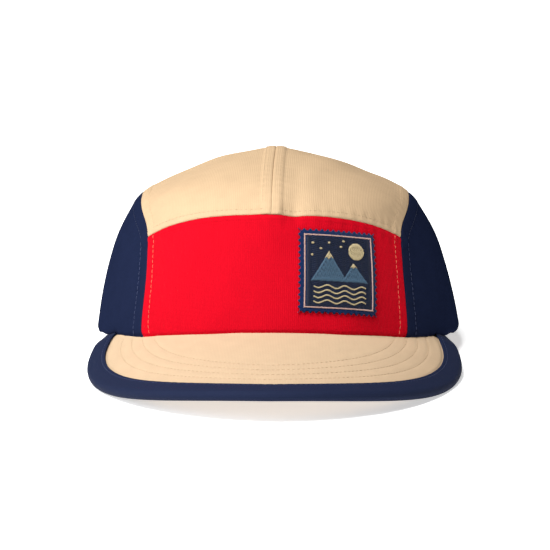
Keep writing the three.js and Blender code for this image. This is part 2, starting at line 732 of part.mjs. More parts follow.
function capPieces() {
  const group = new THREE.Group();
  const topRight = topPanelRight();
  const sideRight = sidePanelRight();
  group.add(
    piece('front_panel', frontPanel(), MATERIALS.redCanvas),
    piece('top_panel_right', topRight, MATERIALS.tanCanvas),
    piece('top_panel_left', mirrored(topRight), MATERIALS.tanCanvas),
    piece('side_panel_right', sideRight, MATERIALS.navyCanvas),
    piece('side_panel_left', mirrored(sideRight), MATERIALS.navyCanvas),
    piece('sweatband', sweatband(), MATERIALS.navyCanvas),
    piece('brim_top', brimSheet(0, -BRIM_CLOTH), MATERIALS.tanCanvas),
    piece('brim_under', brimSheet(BRIM_UNDER_TOP, BRIM_UNDER_BOTTOM), MATERIALS.tanCanvas),
    piece('brim_binding', brimBinding(), MATERIALS.navyCanvas),
    piece('back_strap', backStrap(), MATERIALS.navyWebbing),
    piece('strap_buckle', strapBuckle(), MATERIALS.darkBuckle),
    piece('patch', patch(), MATERIALS.patchCloth));
  return group;
}

// Tips the cap back until the brim and the back hem stand on one level, sets that level at zero
// and centres the cap over the origin.
const STEEPEST_LEAN = radians(45);

function restOnFloor(cap) {
  const points = cap.children.flatMap((mesh) => {
    const position = mesh.geometry.getAttribute('position');
    return Array.from({ length: position.count }, (unused, index) => (
      new THREE.Vector3().fromBufferAttribute(position, index)));
  });
  const height = (point, tilt) => point.z * Math.cos(tilt) - point.y * Math.sin(tilt);
  const lowest = (part, tilt) => part.reduce(
    (low, point) => Math.min(low, height(point, tilt)), Infinity);
  const front = points.filter((point) => point.y < 0);
  const rear = points.filter((point) => point.y >= 0);
  const tilt = lastTrue(0, STEEPEST_LEAN, (angle) => lowest(front, angle) < lowest(rear, angle));
  cap.rotation.x = -tilt;
  cap.updateMatrix();
  const box = new THREE.Box3().setFromPoints(points.map((point) => point.applyMatrix4(cap.matrix)));
  const centre = box.getCenter(new THREE.Vector3());
  cap.position.set(-centre.x, -centre.y, -box.min.z);
}

const cap = capPieces();
restOnFloor(cap);

const model = new THREE.Group();
model.add(cap);

export default model;
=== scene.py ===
"""Looks of a five-panel cap with a bound brim. Sizes are in millimetres until a mesh is made."""

import math

import bpy
import numpy as np
from mathutils import Matrix


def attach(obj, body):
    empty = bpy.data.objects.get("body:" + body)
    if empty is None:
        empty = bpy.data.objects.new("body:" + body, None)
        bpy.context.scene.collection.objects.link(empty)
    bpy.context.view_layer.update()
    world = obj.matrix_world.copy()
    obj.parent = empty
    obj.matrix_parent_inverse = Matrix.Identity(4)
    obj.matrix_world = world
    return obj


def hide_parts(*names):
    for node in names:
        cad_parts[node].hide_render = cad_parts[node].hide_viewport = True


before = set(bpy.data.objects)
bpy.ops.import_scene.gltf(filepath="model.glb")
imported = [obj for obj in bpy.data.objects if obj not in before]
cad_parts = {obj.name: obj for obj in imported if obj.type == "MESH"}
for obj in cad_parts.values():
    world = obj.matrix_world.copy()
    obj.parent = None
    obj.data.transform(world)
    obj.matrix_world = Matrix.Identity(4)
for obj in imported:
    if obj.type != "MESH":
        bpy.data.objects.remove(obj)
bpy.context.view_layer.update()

MM = 0.001

# Crown
CROWN_HALF_WIDTH = 86.5
CROWN_HALF_LENGTH = 99.0
CROWN_HEIGHT = 86.0
CLOTH = 1.5
FRONT_FOOT = math.radians(44.8)
BACK_FOOT = math.radians(143)
HEM_SLIDE_START = 0.8
HEM_TURN = 0.8
HEM_TURN_WIDTH = 1.1
CROWN_SWAY = 0.9
SWAY_FROM = CROWN_HEIGHT / 4
SWAY_TO = CROWN_HEIGHT * 3 / 4

# Crown seams. A start and an end are distances between which the allowance climbs or falls.
SEAM_OPENING = 0.05
SEAM_TURN = 0.35
SEAM_TURN_WIDTH = 0.4
CENTRE_TURN = 0.3
ALLOWANCE_RISE = 0.26
CENTRE_RISE = 0.65
ALLOWANCE_START = (-0.6, 0.3)
ALLOWANCE_END = (0.1, 1.1)
PUCKER_HEIGHT = 0.11
PUCKER_LENGTH = 5.7
PUCKER_REACH = 3.2
PUCKER_DRIFT = 1.6
PUCKER_DRIFT_LENGTH = 11
STITCH_DIP = 0.28
STITCH_DIP_WIDTH = 0.5
CROWN_PULL = 0.2

# Brim
BRIM_REACH = 72.0
BRIM_HALF_SPAN = 91.7
BRIM_WIDEST_BACK = 26.0
BRIM_OUTLINE_POWER = 1.85
BRIM_SLOPE = math.radians(14)
BRIM_ARCH_RADIUS = 158.0
BRIM_FRONT_RISE = 9.3
BRIM_CLOTH = 1.1
BRIM_CLOTH_GAP = 0.3
HEM_GAP = 0.05
HEM_CLIMB = 1.6
HEM_FADE_LENGTH = 18.0
END_SINK = 3.6
END_SINK_FROM = 42.0
END_SINK_TO = 62.0
BRIM_ROWS = (7.7, 13.3, 18.9, 24.5)
BRIM_ROW_DIP = 0.2
BRIM_ROW_WIDTH = 0.9
BRIM_PULL = 0.25
BRIM_SWELL = 0.12
BRIM_EDGE_DIP = 0.3
BRIM_EDGE_WIDTH = 0.8

# Binding, with the shares of a leg's width from its edge to the fold
BINDING_CLOTH = 1.0
BINDING_WIDTH = 8.0
BINDING_ROW = 1.6
BINDING_DIP = 0.22
BINDING_DIP_WIDTH = 0.7
BINDING_PULL = 0.3
BINDING_PUCKER = 0.045
BINDING_PUCKER_LENGTH = 5.3
BINDING_PUCKER_DRIFT = 9
BINDING_EDGE_DIP = 0.35
BINDING_EDGE_WIDTH = 0.45
BINDING_LEG = np.array([1, 0.96, 0.91, 0.86, 0.8, 0.7, 0.55, 0.4, 0.25, 0.1])

# Sweatband, opening, strap and buckle
SWEATBAND_HEIGHT = 28.0
SWEATBAND_CLOTH = 1.2
BAND_DEPTH = 2.4
OPENING_HALF_WIDTH = 34.0
OPENING_HEIGHT = 42.0
STRAP_WIDTH = 19.0
STRAP_THICKNESS = 1.4
STRAP_TUCK = 12.0
STRAP_ABOVE_HEM = 5.0
BUCKLE_LENGTH = 26.0
BUCKLE_WALL = 1.6
BUCKLE_OUTER_RADIUS = 1.2
BUCKLE_INNER_RADIUS = 0.2
BUCKLE_ROUNDING = 0.5
BUCKLE_ROUNDING_START = 0.9
BUCKLE_END_SHARES = (0.96, 0.99, 1)

# Patch
PATCH_SIDE = 38.6
PATCH_CLOTH = 0.8
PATCH_LIFT = 0.35
PATCH_TEETH = 14
PATCH_TOOTH_DEPTH = 0.9
PATCH_BITE_HALF_WIDTH = 0.36
PATCH_BITE_REACH = 3.0
PATCH_EDGE_DROP = 0.3
PATCH_EDGE_WIDTH = 0.35
PATCH_TURN = math.radians(6.5)
PATCH_CENTRE = (0.280, -0.697)

# The patch's design, in millimetres from its middle
FIELD = [(-16, -16), (16, -16), (16, 16), (-16, 16)]
FRAME_HALF = 16.9
FRAME_WIDTH = 0.7
LEFT_PEAK = (-5.5, 9.5)
RIGHT_PEAK = (6.5, 4.5)
MOUNTAINS = [[(-14, -4.5), LEFT_PEAK, (3.5, -4.5)], [(0.5, -4.5), RIGHT_PEAK, (14, -4.5)]]
SNOW = [
    [(-7.9, 5.6), LEFT_PEAK, (-3.1, 5.6), (-4.4, 6.6), (-5.6, 5.3), (-6.7, 6.5)],
    [(4.6, 1.9), RIGHT_PEAK, (8.6, 1.9), (7.4, 2.7), (6.5, 1.7), (5.6, 2.6)],
]
SUN = (8.2, 9.8)
SUN_RADIUS = 4
STARS = [(-13, 12.8), (-9.4, 10.4), (-13.4, 7.4), (-5.4, 13.2), (0.4, 11.6), (1.8, 14.2)]
STAR_RADIUS = 0.6
WAVE_LEVELS = [-6.9, -9.2, -11.5, -13.8]
WAVE_WIDTH = 0.9
WAVE_PERIOD = 8.4
WAVE_SWING = 0.7
WAVE_HALF_LENGTH = 12.6

# Stitch rows. A trim is the shares of a row left out at its start and end.
THREAD_RADIUS = 0.14
STITCH_LENGTH = 2.3
STITCH_SPACE = 0.22
RED_ROW = 5.0
NAVY_ROW = 6.0
TAN_FRONT_ROW = 2.9
TAN_CENTRE_ROW = 4.2
TAN_SIDE_ROW = 5.5
FRONT_TRIM = (0.05, 0.06)
CENTRE_TRIM = (0.03, 0.03)
START_TRIM = (0.02, 0)
ROW_CLEARANCE = 1.0
ROW_RIM_SHARE = 0.995

# A strand of thread: along its length its shares, its thickness and its height, all in radii
STRAND_SHARES = np.array([0, 0.1, 0.3, 0.5, 0.7, 0.9, 1])
STRAND_SWELL = np.array([0.4, 0.85, 1, 1, 1, 0.85, 0.4])
STRAND_SINK = np.array([-1.3, -0.4, 0.3, 0.5, 0.3, -0.4, -1.3])
STRAND_RING = np.radians(np.arange(0, 360, 60))
STRAND_RADIUS = 0.2
STRAND_SPACING = 0.32
LONGEST_STRAND = 3.2
STRAND_SHIFT = 0.25

# Points of the meshes, across and along, and how much closer they stand at a seam
FRONT_GRID = (189, 103)
TOP_GRID = (113, 181)
SIDE_GRID = (185, 109)
BAND_GRID = (241, 15)
STRAP_GRID = (97, 13)
BRIM_TOP_GRID = (301, 91)
BRIM_UNDER_GRID = (181, 71)
BINDING_GRID = (361, 13)
BUCKLE_POINTS = 13
CORNER_POINTS = 6
PATCH_TOOTH_POINTS = 9
SEAM_FINENESS = 3
BRIM_FINENESS = 0.5
FINE_REACH = 0.06
SHARP_ANGLE = math.radians(40)

# Points and steps of lines and searches
HEM_POINTS = 2881
CURVE_POINTS = 60
CENTRE_POINTS = 200
SEAM_LINE_STEP = 6
OUTLINE_POINTS = 161
ROW_POINTS = 160
BRIM_ROW_POINTS = 400
STATION_POINTS = 4001
DISC_STEP = 0.004
RIM_MARGIN = 0.001
HALVINGS = 30
ROW_SEARCH_STEPS = 5
PATCH_SEARCH_STEPS = 6
SCAN_REACH = 24
SCAN_STEP = 0.1
SHORTEST_SCAN = 3

# Slow waves of the cloth, each a length and a height
WAVE_SIZES = ((70, 0.35), (52, 0.3), (38, 0.2), (27, 0.12), (19, 0.07))
WAVE_SEED = 11

# Weave of the cloth
CLOTH_ROUGHNESS = 0.85
SHEEN_ROUGHNESS = 0.5
WEAVE_DISTORTION = 0.6
WEAVE_DETAIL_SCALE = 0.4
CROSS_SHARE = 0.5
FUZZ_SCALE = 2.2
RELIEF_DEPTH = 0.15
MOTTLE_SCALE = 0.12
WAVE_TEXTURE_PERIOD = math.pi / 10
PLAIN_GLOSS = 0.2

# Studio, in metres. Each light has a name, a place, a size and a power.
LIGHTS = [
    ("top", (-0.75, -0.9, 2.2), 1.4, 121),
    ("front", (-1.7, -1.9, 1.2), 1.5, 30),
    ("side", (-2.2, -1.1, 1.0), 1.3, 14),
]
LIGHT_TARGET = (0, 0, 0.04)
FLOOR_REACH = 8
FLOOR_WHITE = 0.9
FLOOR_GLOW = 0.55
WORLD_LIGHT = 0.05

# Camera
CAMERA_DISTANCE = 1900
CAMERA_RISE = math.radians(6)
CAMERA_TURN = math.radians(1.35)
CAMERA_TARGET = np.array([0, 0, 45])
FOCAL_PIXELS = 3990
PICTURE_PIXELS = 550
TARGET_PIXEL = (278.0, 233.4)
SENSOR_WIDTH = 36
CAMERA_CLIP = (0.1, 30)

# The cap leans back until the brim and the back hem stand on the floor.
LEAN = math.radians(-4.78284)
FLOOR_SHIFT = np.array([0, 35.32705, 7.59016])

# Crown profiles from the top (share 0) to the hem (share 1): front, side and back, each as a reach
# and a rise.
PROFILE_SHARE = np.array([0, 0.14, 0.28, 0.42, 0.50, 0.55, 0.60, 0.70, 0.80, 0.90, 1])
PROFILE = {
    "front_reach": [0, 0.245, 0.475, 0.692, 0.808, 0.876, 0.901, 0.929, 0.953, 0.978, 1],
    "front_rise": [1, 0.980, 0.946, 0.883, 0.816, 0.739, 0.656, 0.497, 0.341, 0.182, 0],
    "side_reach": [0, 0.212, 0.402, 0.582, 0.678, 0.739, 0.788, 0.868, 0.922, 0.963, 1],
    "side_rise": [1, 0.959, 0.900, 0.832, 0.787, 0.746, 0.685, 0.531, 0.365, 0.194, 0],
    "back_reach": [0, 0.235, 0.455, 0.650, 0.745, 0.795, 0.840, 0.905, 0.950, 0.982, 1],
    "back_rise": [1, 0.969, 0.907, 0.826, 0.768, 0.722, 0.663, 0.521, 0.360, 0.194, 0],
}

# Seams as places on a unit disc over the crown: across to the right, back to the rear.
JUNCTION = (0.517, -0.421)
FRONT_SEAM = [(0, -0.555), (0.100, -0.549), (0.207, -0.530), (0.310, -0.503), (0.420, -0.464)]
TOP_SEAM = [
    (0.512, -0.360), (0.525, -0.275), (0.537, -0.164), (0.543, 0), (0.540, 0.200),
    (0.536, 0.420), (0.556, 0.630),
]
SIDE_SEAM = [(0.573, -0.506), (0.682, -0.655)]

# Shares of the edges: how much of a top panel's back edge lies on the opening, and how much of the
# top seam is a side panel's upper edge. The rest of it is the panel's back edge.
OPENING_EDGE = 0.6
SIDE_TOP_EDGE = 0.8

# Soft valleys of the cloth, and swells where the depth is below zero: two places on the disc, a
# width and a depth.
FOLDS = [
    ((0.072, -0.545), (0.080, -0.22), 4.8, 2.0),
    ((-0.19, -0.15), (-0.19, 0.35), 12.0, -0.7),
    ((0.20, -0.15), (0.20, 0.35), 12.0, -0.7),
    ((-0.075, -0.535), (-0.085, -0.42), 4.0, 0.25),
    ((0.20, -0.50), (0.17, -0.38), 6.0, 0.25),
    ((-0.22, -0.60), (-0.20, -0.78), 9.0, 0.25),
    ((0.07, -0.60), (0.10, -0.74), 8.0, 0.3),
]
FOLD_FADE_START = 0.4


def mix(low, high, share):
    return low + (high - low) * share


def smooth(value, low, high):
    share = np.clip((value - low) / (high - low), 0, 1)
    return share * share * (3 - 2 * share)


def bump(value, middle, width):
    return np.exp(-(((value - middle) / width) ** 2))


def joined(*parts):
    return np.stack(np.broadcast_arrays(*parts), axis=-1)


def unit(vectors):
    return vectors / np.linalg.norm(vectors, axis=-1, keepdims=True)


def profile_slopes(values, level):
    slopes = np.empty(len(values))
    for row in range(len(values)):
        before, after = max(row - 1, 0), min(row + 1, len(values) - 1)
        rise = values[after] - values[before]
        slopes[row] = rise / (PROFILE_SHARE[after] - PROFILE_SHARE[before])
    if level:
        slopes[0] = 0
    return slopes


SLOPES = {name: profile_slopes(values, values[0] == 1) for name, values in PROFILE.items()}


def profile_value(name, share):
    """A profile's value at a share of the way down, as a smooth curve through its rows."""
    values, slopes = np.array(PROFILE[name]), SLOPES[name]
    place = np.clip(share, 0, 1)
    row = np.clip(np.searchsorted(PROFILE_SHARE, place, side="right") - 1, 0, len(values) - 2)
    span = PROFILE_SHARE[row + 1] - PROFILE_SHARE[row]
    t = (place - PROFILE_SHARE[row]) / span
    keep = (1 + 2 * t) * (1 - t) ** 2
    bends = t * (1 - t) ** 2 * slopes[row] + t * t * (t - 1) * slopes[row + 1]
    return keep * values[row] + (1 - keep) * values[row + 1] + span * bends


def profile_point(share, angle):
    """Crown surface at a share of the way down, in the direction of an angle from the front."""
    lengthwise = np.cos(angle) ** 2

    def blended(kind):
        front, back = profile_value("front_" + kind, share), profile_value("back_" + kind, share)
        end = np.where(np.cos(angle) > 0, front, back)
        return mix(profile_value("side_" + kind, share), end, lengthwise)

    reach = blended("reach")
    return joined(
        CROWN_HALF_WIDTH * np.sin(angle) * reach,
        -CROWN_HALF_LENGTH * np.cos(angle) * reach,
        CROWN_HEIGHT * blended("rise"),
    )


# The brim is a piece of a cylinder: arc runs round it, ahead runs down its slope.
SHEET_NORMAL = np.array([0, -math.sin(BRIM_SLOPE), math.cos(BRIM_SLOPE)])
SHEET_AHEAD = np.array([0, -math.cos(BRIM_SLOPE), -math.sin(BRIM_SLOPE)])
SHEET_START = np.array([0, -CROWN_HALF_LENGTH, BRIM_FRONT_RISE])


def end_sink(ahead):
    """How far the crown presses the brim down at its two ends."""
    return END_SINK * smooth(-np.asarray(ahead), END_SINK_FROM, END_SINK_TO)


def brim_point(arc, ahead, lift):
    turn = arc / BRIM_ARCH_RADIUS
    radius = BRIM_ARCH_RADIUS + lift
    sideways = (radius * np.sin(turn))[..., None] * np.array([1.0, 0, 0])
    upwards = (radius * np.cos(turn) - BRIM_ARCH_RADIUS)[..., None] * SHEET_NORMAL
    sunk = end_sink(ahead)[..., None] * np.array([0, 0, 1.0])
    return SHEET_START + sideways + upwards + np.asarray(ahead)[..., None] * SHEET_AHEAD - sunk


def brim_normal(arc):
    turn = arc / BRIM_ARCH_RADIUS
    return np.sin(turn)[..., None] * np.array([1.0, 0, 0]) + np.cos(turn)[..., None] * SHEET_NORMAL


def brim_place(x, y, lift):
    """Where the lifted brim sheet lies over or under a place in plan: arc, ahead and height."""
    radius = BRIM_ARCH_RADIUS + lift
    turn = np.arcsin(np.clip(x / radius, -1, 1))
    rise = radius * np.cos(turn) - BRIM_ARCH_RADIUS
    ahead = (y - SHEET_START[1] - rise * SHEET_NORMAL[1]) / SHEET_AHEAD[1]
    height = SHEET_START[2] + rise * SHEET_NORMAL[2] + ahead * SHEET_AHEAD[2] - end_sink(ahead)
    return turn * BRIM_ARCH_RADIUS, ahead, height


OUTLINE_LENGTH = BRIM_REACH + BRIM_WIDEST_BACK


def signed_power(value, power):
    return np.sign(value) * np.abs(value) ** power


def brim_outline(angle, inset):
    """A place on the brim's outline, a superellipse, moved inwards by an inset."""
    across = signed_power(np.sin(angle), 2 / BRIM_OUTLINE_POWER)
    forward = signed_power(np.cos(angle), 2 / BRIM_OUTLINE_POWER)
    normal = unit(
        joined(
            signed_power(across, BRIM_OUTLINE_POWER - 1) / BRIM_HALF_SPAN,
            signed_power(forward, BRIM_OUTLINE_POWER - 1) / OUTLINE_LENGTH,
        )
    )
    arc = BRIM_HALF_SPAN * across - inset * normal[..., 0]
    ahead = OUTLINE_LENGTH * forward - BRIM_WIDEST_BACK - inset * normal[..., 1]
    return arc, ahead


def inset_from_outline(arc, ahead):
    across = np.abs(arc / BRIM_HALF_SPAN) ** BRIM_OUTLINE_POWER
    forward = np.abs((ahead + BRIM_WIDEST_BACK) / OUTLINE_LENGTH) ** BRIM_OUTLINE_POWER
    return (1 - (across + forward) ** (1 / BRIM_OUTLINE_POWER)) * BRIM_HALF_SPAN


def last_true(low, high, test):
    """Halves the ranges until the test turns from true to false."""
    low, high = np.array(low, float), np.array(high, float)
    for _ in range(HALVINGS):
        middle = (low + high) / 2
        passed = test(middle)
        low, high = np.where(passed, middle, low), np.where(passed, high, middle)
    return (low + high) / 2


BRIM_UNDER_TOP = -BRIM_CLOTH - BRIM_CLOTH_GAP
BRIM_UNDER_BOTTOM = BRIM_UNDER_TOP - BRIM_CLOTH
BINDING_MIDDLE = BRIM_UNDER_BOTTOM / 2
BINDING_INNER = BRIM_CLOTH_GAP - BINDING_MIDDLE
BINDING_OUTER = BINDING_INNER + BINDING_CLOTH
HEM_DEPTH = BAND_DEPTH + SWEATBAND_CLOTH


def inside_hem(x, y, depth):
    return np.hypot(x / (CROWN_HALF_WIDTH - depth), y / (CROWN_HALF_LENGTH - depth)) < 1


def beside_crown(angle, inset, depth):
    point = brim_point(*brim_outline(angle, inset), 0)
    return ~inside_hem(point[..., 0], point[..., 1], depth)


BRIM_END_ANGLE = float(
    last_true(math.radians(60), math.radians(170), lambda angle: beside_crown(angle, 0, 0))
)
BRIM_END = brim_point(*brim_outline(np.array(BRIM_END_ANGLE), 0), 0)
BRIM_HEM_ANGLE = math.atan2(BRIM_END[0] / CROWN_HALF_WIDTH, -BRIM_END[1] / CROWN_HALF_LENGTH)


def hem_height(x, y):
    """Height of the crown's lower edge: on the brim, over the binding, and level behind."""
    arc, ahead, _ = brim_place(x, y, HEM_GAP)
    inset = inset_from_outline(arc, ahead)
    bound = BINDING_WIDTH + BINDING_OUTER
    over_binding = 1 - smooth(inset, bound, bound + HEM_CLIMB)
    lift = HEM_GAP + over_binding * (BINDING_CLOTH + BRIM_CLOTH_GAP)
    behind = smooth(y, BRIM_END[1], BRIM_END[1] + HEM_FADE_LENGTH)
    return (1 - behind) * brim_place(x, y, lift)[2]


def above_hem(share, angle):
    point = profile_point(share, angle)
    return point[..., 2] > hem_height(point[..., 0], point[..., 1])


HEM_ANGLES = np.linspace(-math.pi, math.pi, HEM_POINTS)
HEM_SHARES = last_true(
    np.full(HEM_ANGLES.shape, HEM_SLIDE_START),
    np.ones(HEM_ANGLES.shape),
    lambda share: above_hem(share, HEM_ANGLES),
)


def crown_point(places):
    """Crown surface over places on the disc. Towards the rim the places slide up to the hem."""
    across, back = places[..., 0], places[..., 1]
    share = np.hypot(across, back)
    angle = np.arctan2(across, -back)
    near = np.clip((share - HEM_SLIDE_START) / (1 - HEM_SLIDE_START), 0, None)
    slide = near * near * (1 - np.interp(angle, HEM_ANGLES, HEM_SHARES))
    return profile_point(share - slide, angle)


def crown_steps(places):
    """How the surface moves for a step across and a step back on the disc."""
    share = np.linalg.norm(places, axis=-1, keepdims=True)
    inward = np.where(share > 1 - DISC_STEP, (1 - DISC_STEP) / np.maximum(share, DISC_STEP), 1)
    inside = places * inward
    steps = []
    for step in (np.array([DISC_STEP, 0]), np.array([0, DISC_STEP])):
        change = crown_point(inside + step) - crown_point(inside - step)
        steps.append(change / (2 * DISC_STEP))
    return steps


def crown_normal(places):
    rightward, rearward = crown_steps(places)
    return unit(np.cross(rightward, rearward))


def places_under(targets, places):
    """Places on the disc whose crown points lie nearest to the targets."""
    for _ in range(ROW_SEARCH_STEPS):
        rightward, rearward = crown_steps(places)
        miss = targets - crown_point(places)
        a, b, c = (
            (rightward * rightward).sum(-1),
            (rightward * rearward).sum(-1),
            (rearward * rearward).sum(-1),
        )
        d, e = (rightward * miss).sum(-1), (rearward * miss).sum(-1)
        spread = a * c - b * b
        places = places + joined((c * d - b * e) / spread, (a * e - b * d) / spread)
    return places


def smooth_curve(rows):
    """Catmull-Rom curve through the rows, as close points at even distances."""
    rows = np.array(rows, float)
    padded = np.vstack([rows[:1], rows, rows[-1:]])
    t = np.linspace(0, 1, CURVE_POINTS, endpoint=False)[:, None]
    points = []
    for a, b, c, d in zip(padded, padded[1:], padded[2:], padded[3:]):
        start, end = (c - a) / 2, (d - b) / 2
        points.append(
            (2 * t**3 - 3 * t**2 + 1) * b
            + (t**3 - 2 * t**2 + t) * start
            + (3 * t**2 - 2 * t**3) * c
            + (t**3 - t**2) * end
        )
    return np.vstack([*points, rows[-1:]])


def travelled_along(points):
    """Length of a line up to each of its points."""
    return np.concatenate([[0], np.cumsum(np.linalg.norm(np.diff(points, axis=0), axis=1))])


def at_lengths(where, lengths, values):
    """Values along a line, such as its points, read at other lengths."""
    return joined(*(np.interp(where, lengths, column) for column in values.T))


def along(points, shares):
    """Points of a line at shares of its length."""
    lengths = travelled_along(points)
    return at_lengths(np.asarray(shares) * lengths[-1], lengths, points)


def rim_place(angle):
    return joined(np.sin(angle), -np.cos(angle))


RIGHT = np.array([1, 1])
LEFT = np.array([-1, 1])
front_seam = smooth_curve([*FRONT_SEAM, JUNCTION])
top_seam = smooth_curve([JUNCTION, *TOP_SEAM, rim_place(BACK_FOOT)])
side_seam = smooth_curve([JUNCTION, *SIDE_SEAM, rim_place(FRONT_FOOT)])
whole_front_seam = np.vstack([(front_seam * LEFT)[:0:-1], front_seam])

OPENING_HALF_ANGLE = math.asin(OPENING_HALF_WIDTH / CROWN_HALF_WIDTH)
OPENING_TOP_SHARE = float(
    last_true(0, 1, lambda share: profile_point(share, np.array(math.pi))[..., 2] > OPENING_HEIGHT)
)


def opening_place(turn):
    angle = math.pi - OPENING_HALF_ANGLE * np.cos(turn)
    share = 1 - (1 - OPENING_TOP_SHARE) * np.sin(turn)
    return rim_place(angle) * share[..., None]


def centre_seam_place(share):
    """The seam over the top, from the front seam to the back opening."""
    return joined(0, mix(FRONT_SEAM[0][1], OPENING_TOP_SHARE, share))


centre_seam = centre_seam_place(np.linspace(0, 1, CENTRE_POINTS))


def distance_to(points, line):
    """Distance of points to a line, and how far along the line the nearest place is."""
    flat = points.reshape(-1, points.shape[-1])
    best = np.full(len(flat), np.inf)
    along_best = np.zeros(len(flat))
    travelled = 0.0
    for start, end in zip(line, line[1:]):
        step = end - start
        length = np.linalg.norm(step)
        if length == 0:
            continue
        share = np.clip((flat - start) @ step / length**2, 0, 1)
        away = np.linalg.norm(flat - start - share[:, None] * step, axis=1)
        closer = away < best
        best = np.where(closer, away, best)
        along_best = np.where(closer, travelled + share * length, along_best)
        travelled += length
    return best.reshape(points.shape[:-1]), along_best.reshape(points.shape[:-1])


def seam_line(places):
    return crown_point(np.vstack([places[::SEAM_LINE_STEP], places[-1:]]))


# Each slow wave has a fixed direction and phase.
random = np.random.default_rng(WAVE_SEED)
WAVES = [
    (unit(random.normal(size=3)) * 2 * math.pi / length, random.uniform(0, 2 * math.pi), height)
    for length, height in WAVE_SIZES
]


def slow_waves(points):
    return sum(height * np.sin(points @ direction + phase) for direction, phase, height in WAVES)


def stitch_pull(travelled, share):
    """How deep stitches pull the cloth along a row: fully at their ends, and less between."""
    return 1 - share + share * np.cos(2 * math.pi * travelled / STITCH_LENGTH)


def seam_relief(distance, travelled, stitch_at, turn, rise):
    """Height over the crown near a seam: the edge turns down, the allowance lifts, the row dips."""
    turned = turn * bump(distance, 0, SEAM_TURN_WIDTH)
    lifted = rise * smooth(distance, *ALLOWANCE_START)
    lifted = lifted * (1 - smooth(distance - stitch_at, *ALLOWANCE_END))
    pull = stitch_pull(travelled, CROWN_PULL)
    dip = STITCH_DIP * bump(distance, stitch_at, STITCH_DIP_WIDTH) * pull
    drift = PUCKER_DRIFT * np.sin(travelled / PUCKER_DRIFT_LENGTH)
    beat = np.sin(2 * math.pi * travelled / PUCKER_LENGTH + drift)
    return lifted - turned - dip + PUCKER_HEIGHT * beat * bump(distance, stitch_at, PUCKER_REACH)


SEAM_LINES = {
    "front": seam_line(whole_front_seam),
    "centre": seam_line(centre_seam),
    "top_right": seam_line(top_seam),
    "top_left": seam_line(top_seam * LEFT),
    "side_right": seam_line(side_seam),
    "side_left": seam_line(side_seam * LEFT),
}


def soft_folds(points):
    """The folds fade out towards their second place."""
    height = 0
    for start, end, width, depth in FOLDS:
        line = crown_point(np.array([start, end]))
        away, travelled = distance_to(points, line)
        fade = 1 - smooth(travelled / np.linalg.norm(line[1] - line[0]), FOLD_FADE_START, 1)
        height = height - depth * fade * bump(away, 0, width)
    return height


def crown_relief(points, seams):
    """Height of the cloth over the plain crown surface, from its seams, waves and folds."""
    height = slow_waves(points) + soft_folds(points)
    for name, stitch_at in seams.items():
        away, travelled = distance_to(points, SEAM_LINES[name])
        turn, rise = (CENTRE_TURN, CENTRE_RISE) if name == "centre" else (SEAM_TURN, ALLOWANCE_RISE)
        height = height + seam_relief(away, travelled, stitch_at, turn, rise)
    return height


def panel_places(edges, u, v):
    """Places of a panel between its four edges."""
    near, far, left, right = edges["near"](u), edges["far"](u), edges["left"](v), edges["right"](v)
    s, t = u[None, :, None], v[:, None, None]
    corners = (
        near[0] * (1 - s) * (1 - t) + near[-1] * s * (1 - t) + far[0] * (1 - s) * t + far[-1] * s * t
    )
    ends = left[:, None] * (1 - s) + right[:, None] * s
    return near[None] * (1 - t) + far[None] * t + ends - corners


def stations(count, fine, edges):
    """Shares from 0 to 1, closer together towards the named edges."""
    share = np.linspace(0, 1, count)
    weight = np.ones(count)
    for edge, away in (("start", share), ("end", 1 - share)):
        if edge in edges:
            weight = weight + fine * np.exp(-away / FINE_REACH)
    ends = np.linspace(0, 1, STATION_POINTS)
    total = np.cumsum(np.interp(ends, share, weight))
    total = (total - total[0]) / (total[-1] - total[0])
    return np.interp(share, total, ends)


def swayed(points):
    """The soft crown sways a little to the left above its sides."""
    sway = CROWN_SWAY * smooth(points[..., 2], SWAY_FROM, SWAY_TO)
    return points - sway[..., None] * np.array([1, 0, 0])


LEAN_TURN = np.array([
    [1, 0, 0],
    [0, math.cos(LEAN), -math.sin(LEAN)],
    [0, math.sin(LEAN), math.cos(LEAN)],
])


def settled(points):
    """From the cap's own level in millimetres to the floor's frame in metres."""
    return (points @ LEAN_TURN.T + FLOOR_SHIFT) * MM


def new_object(name, data):
    placed = bpy.data.objects.new(name, data)
    bpy.context.scene.collection.objects.link(placed)
    return placed


def mesh_object(name, points, faces, material, uv=None, sharp=SHARP_ANGLE):
    """An object on the floor's frame from points in millimetres, with its faces turned outwards."""
    points, faces = settled(swayed(points.reshape(-1, 3))), np.asarray(faces)
    a, b, c = (points[faces[:, corner]] for corner in (0, 1, 2))
    d = points[faces[:, -1]]
    volume = (a * np.cross(b, c)).sum() + (a * np.cross(c, d)).sum()
    if volume < 0:
        faces = faces[:, ::-1]
    mesh = bpy.data.meshes.new(name)
    mesh.from_pydata(points.tolist(), [], faces.tolist())
    if uv is not None:
        layer = mesh.uv_layers.new(name="cloth")
        corners = np.empty(len(mesh.loops), np.int32)
        mesh.loops.foreach_get("vertex_index", corners)
        layer.data.foreach_set("uv", uv.reshape(-1, 2)[corners].astype(np.float32).ravel())
    mesh.materials.append(material)
    mesh.shade_smooth()
    mesh.set_sharp_from_angle(angle=sharp)
    return new_object(name, mesh)


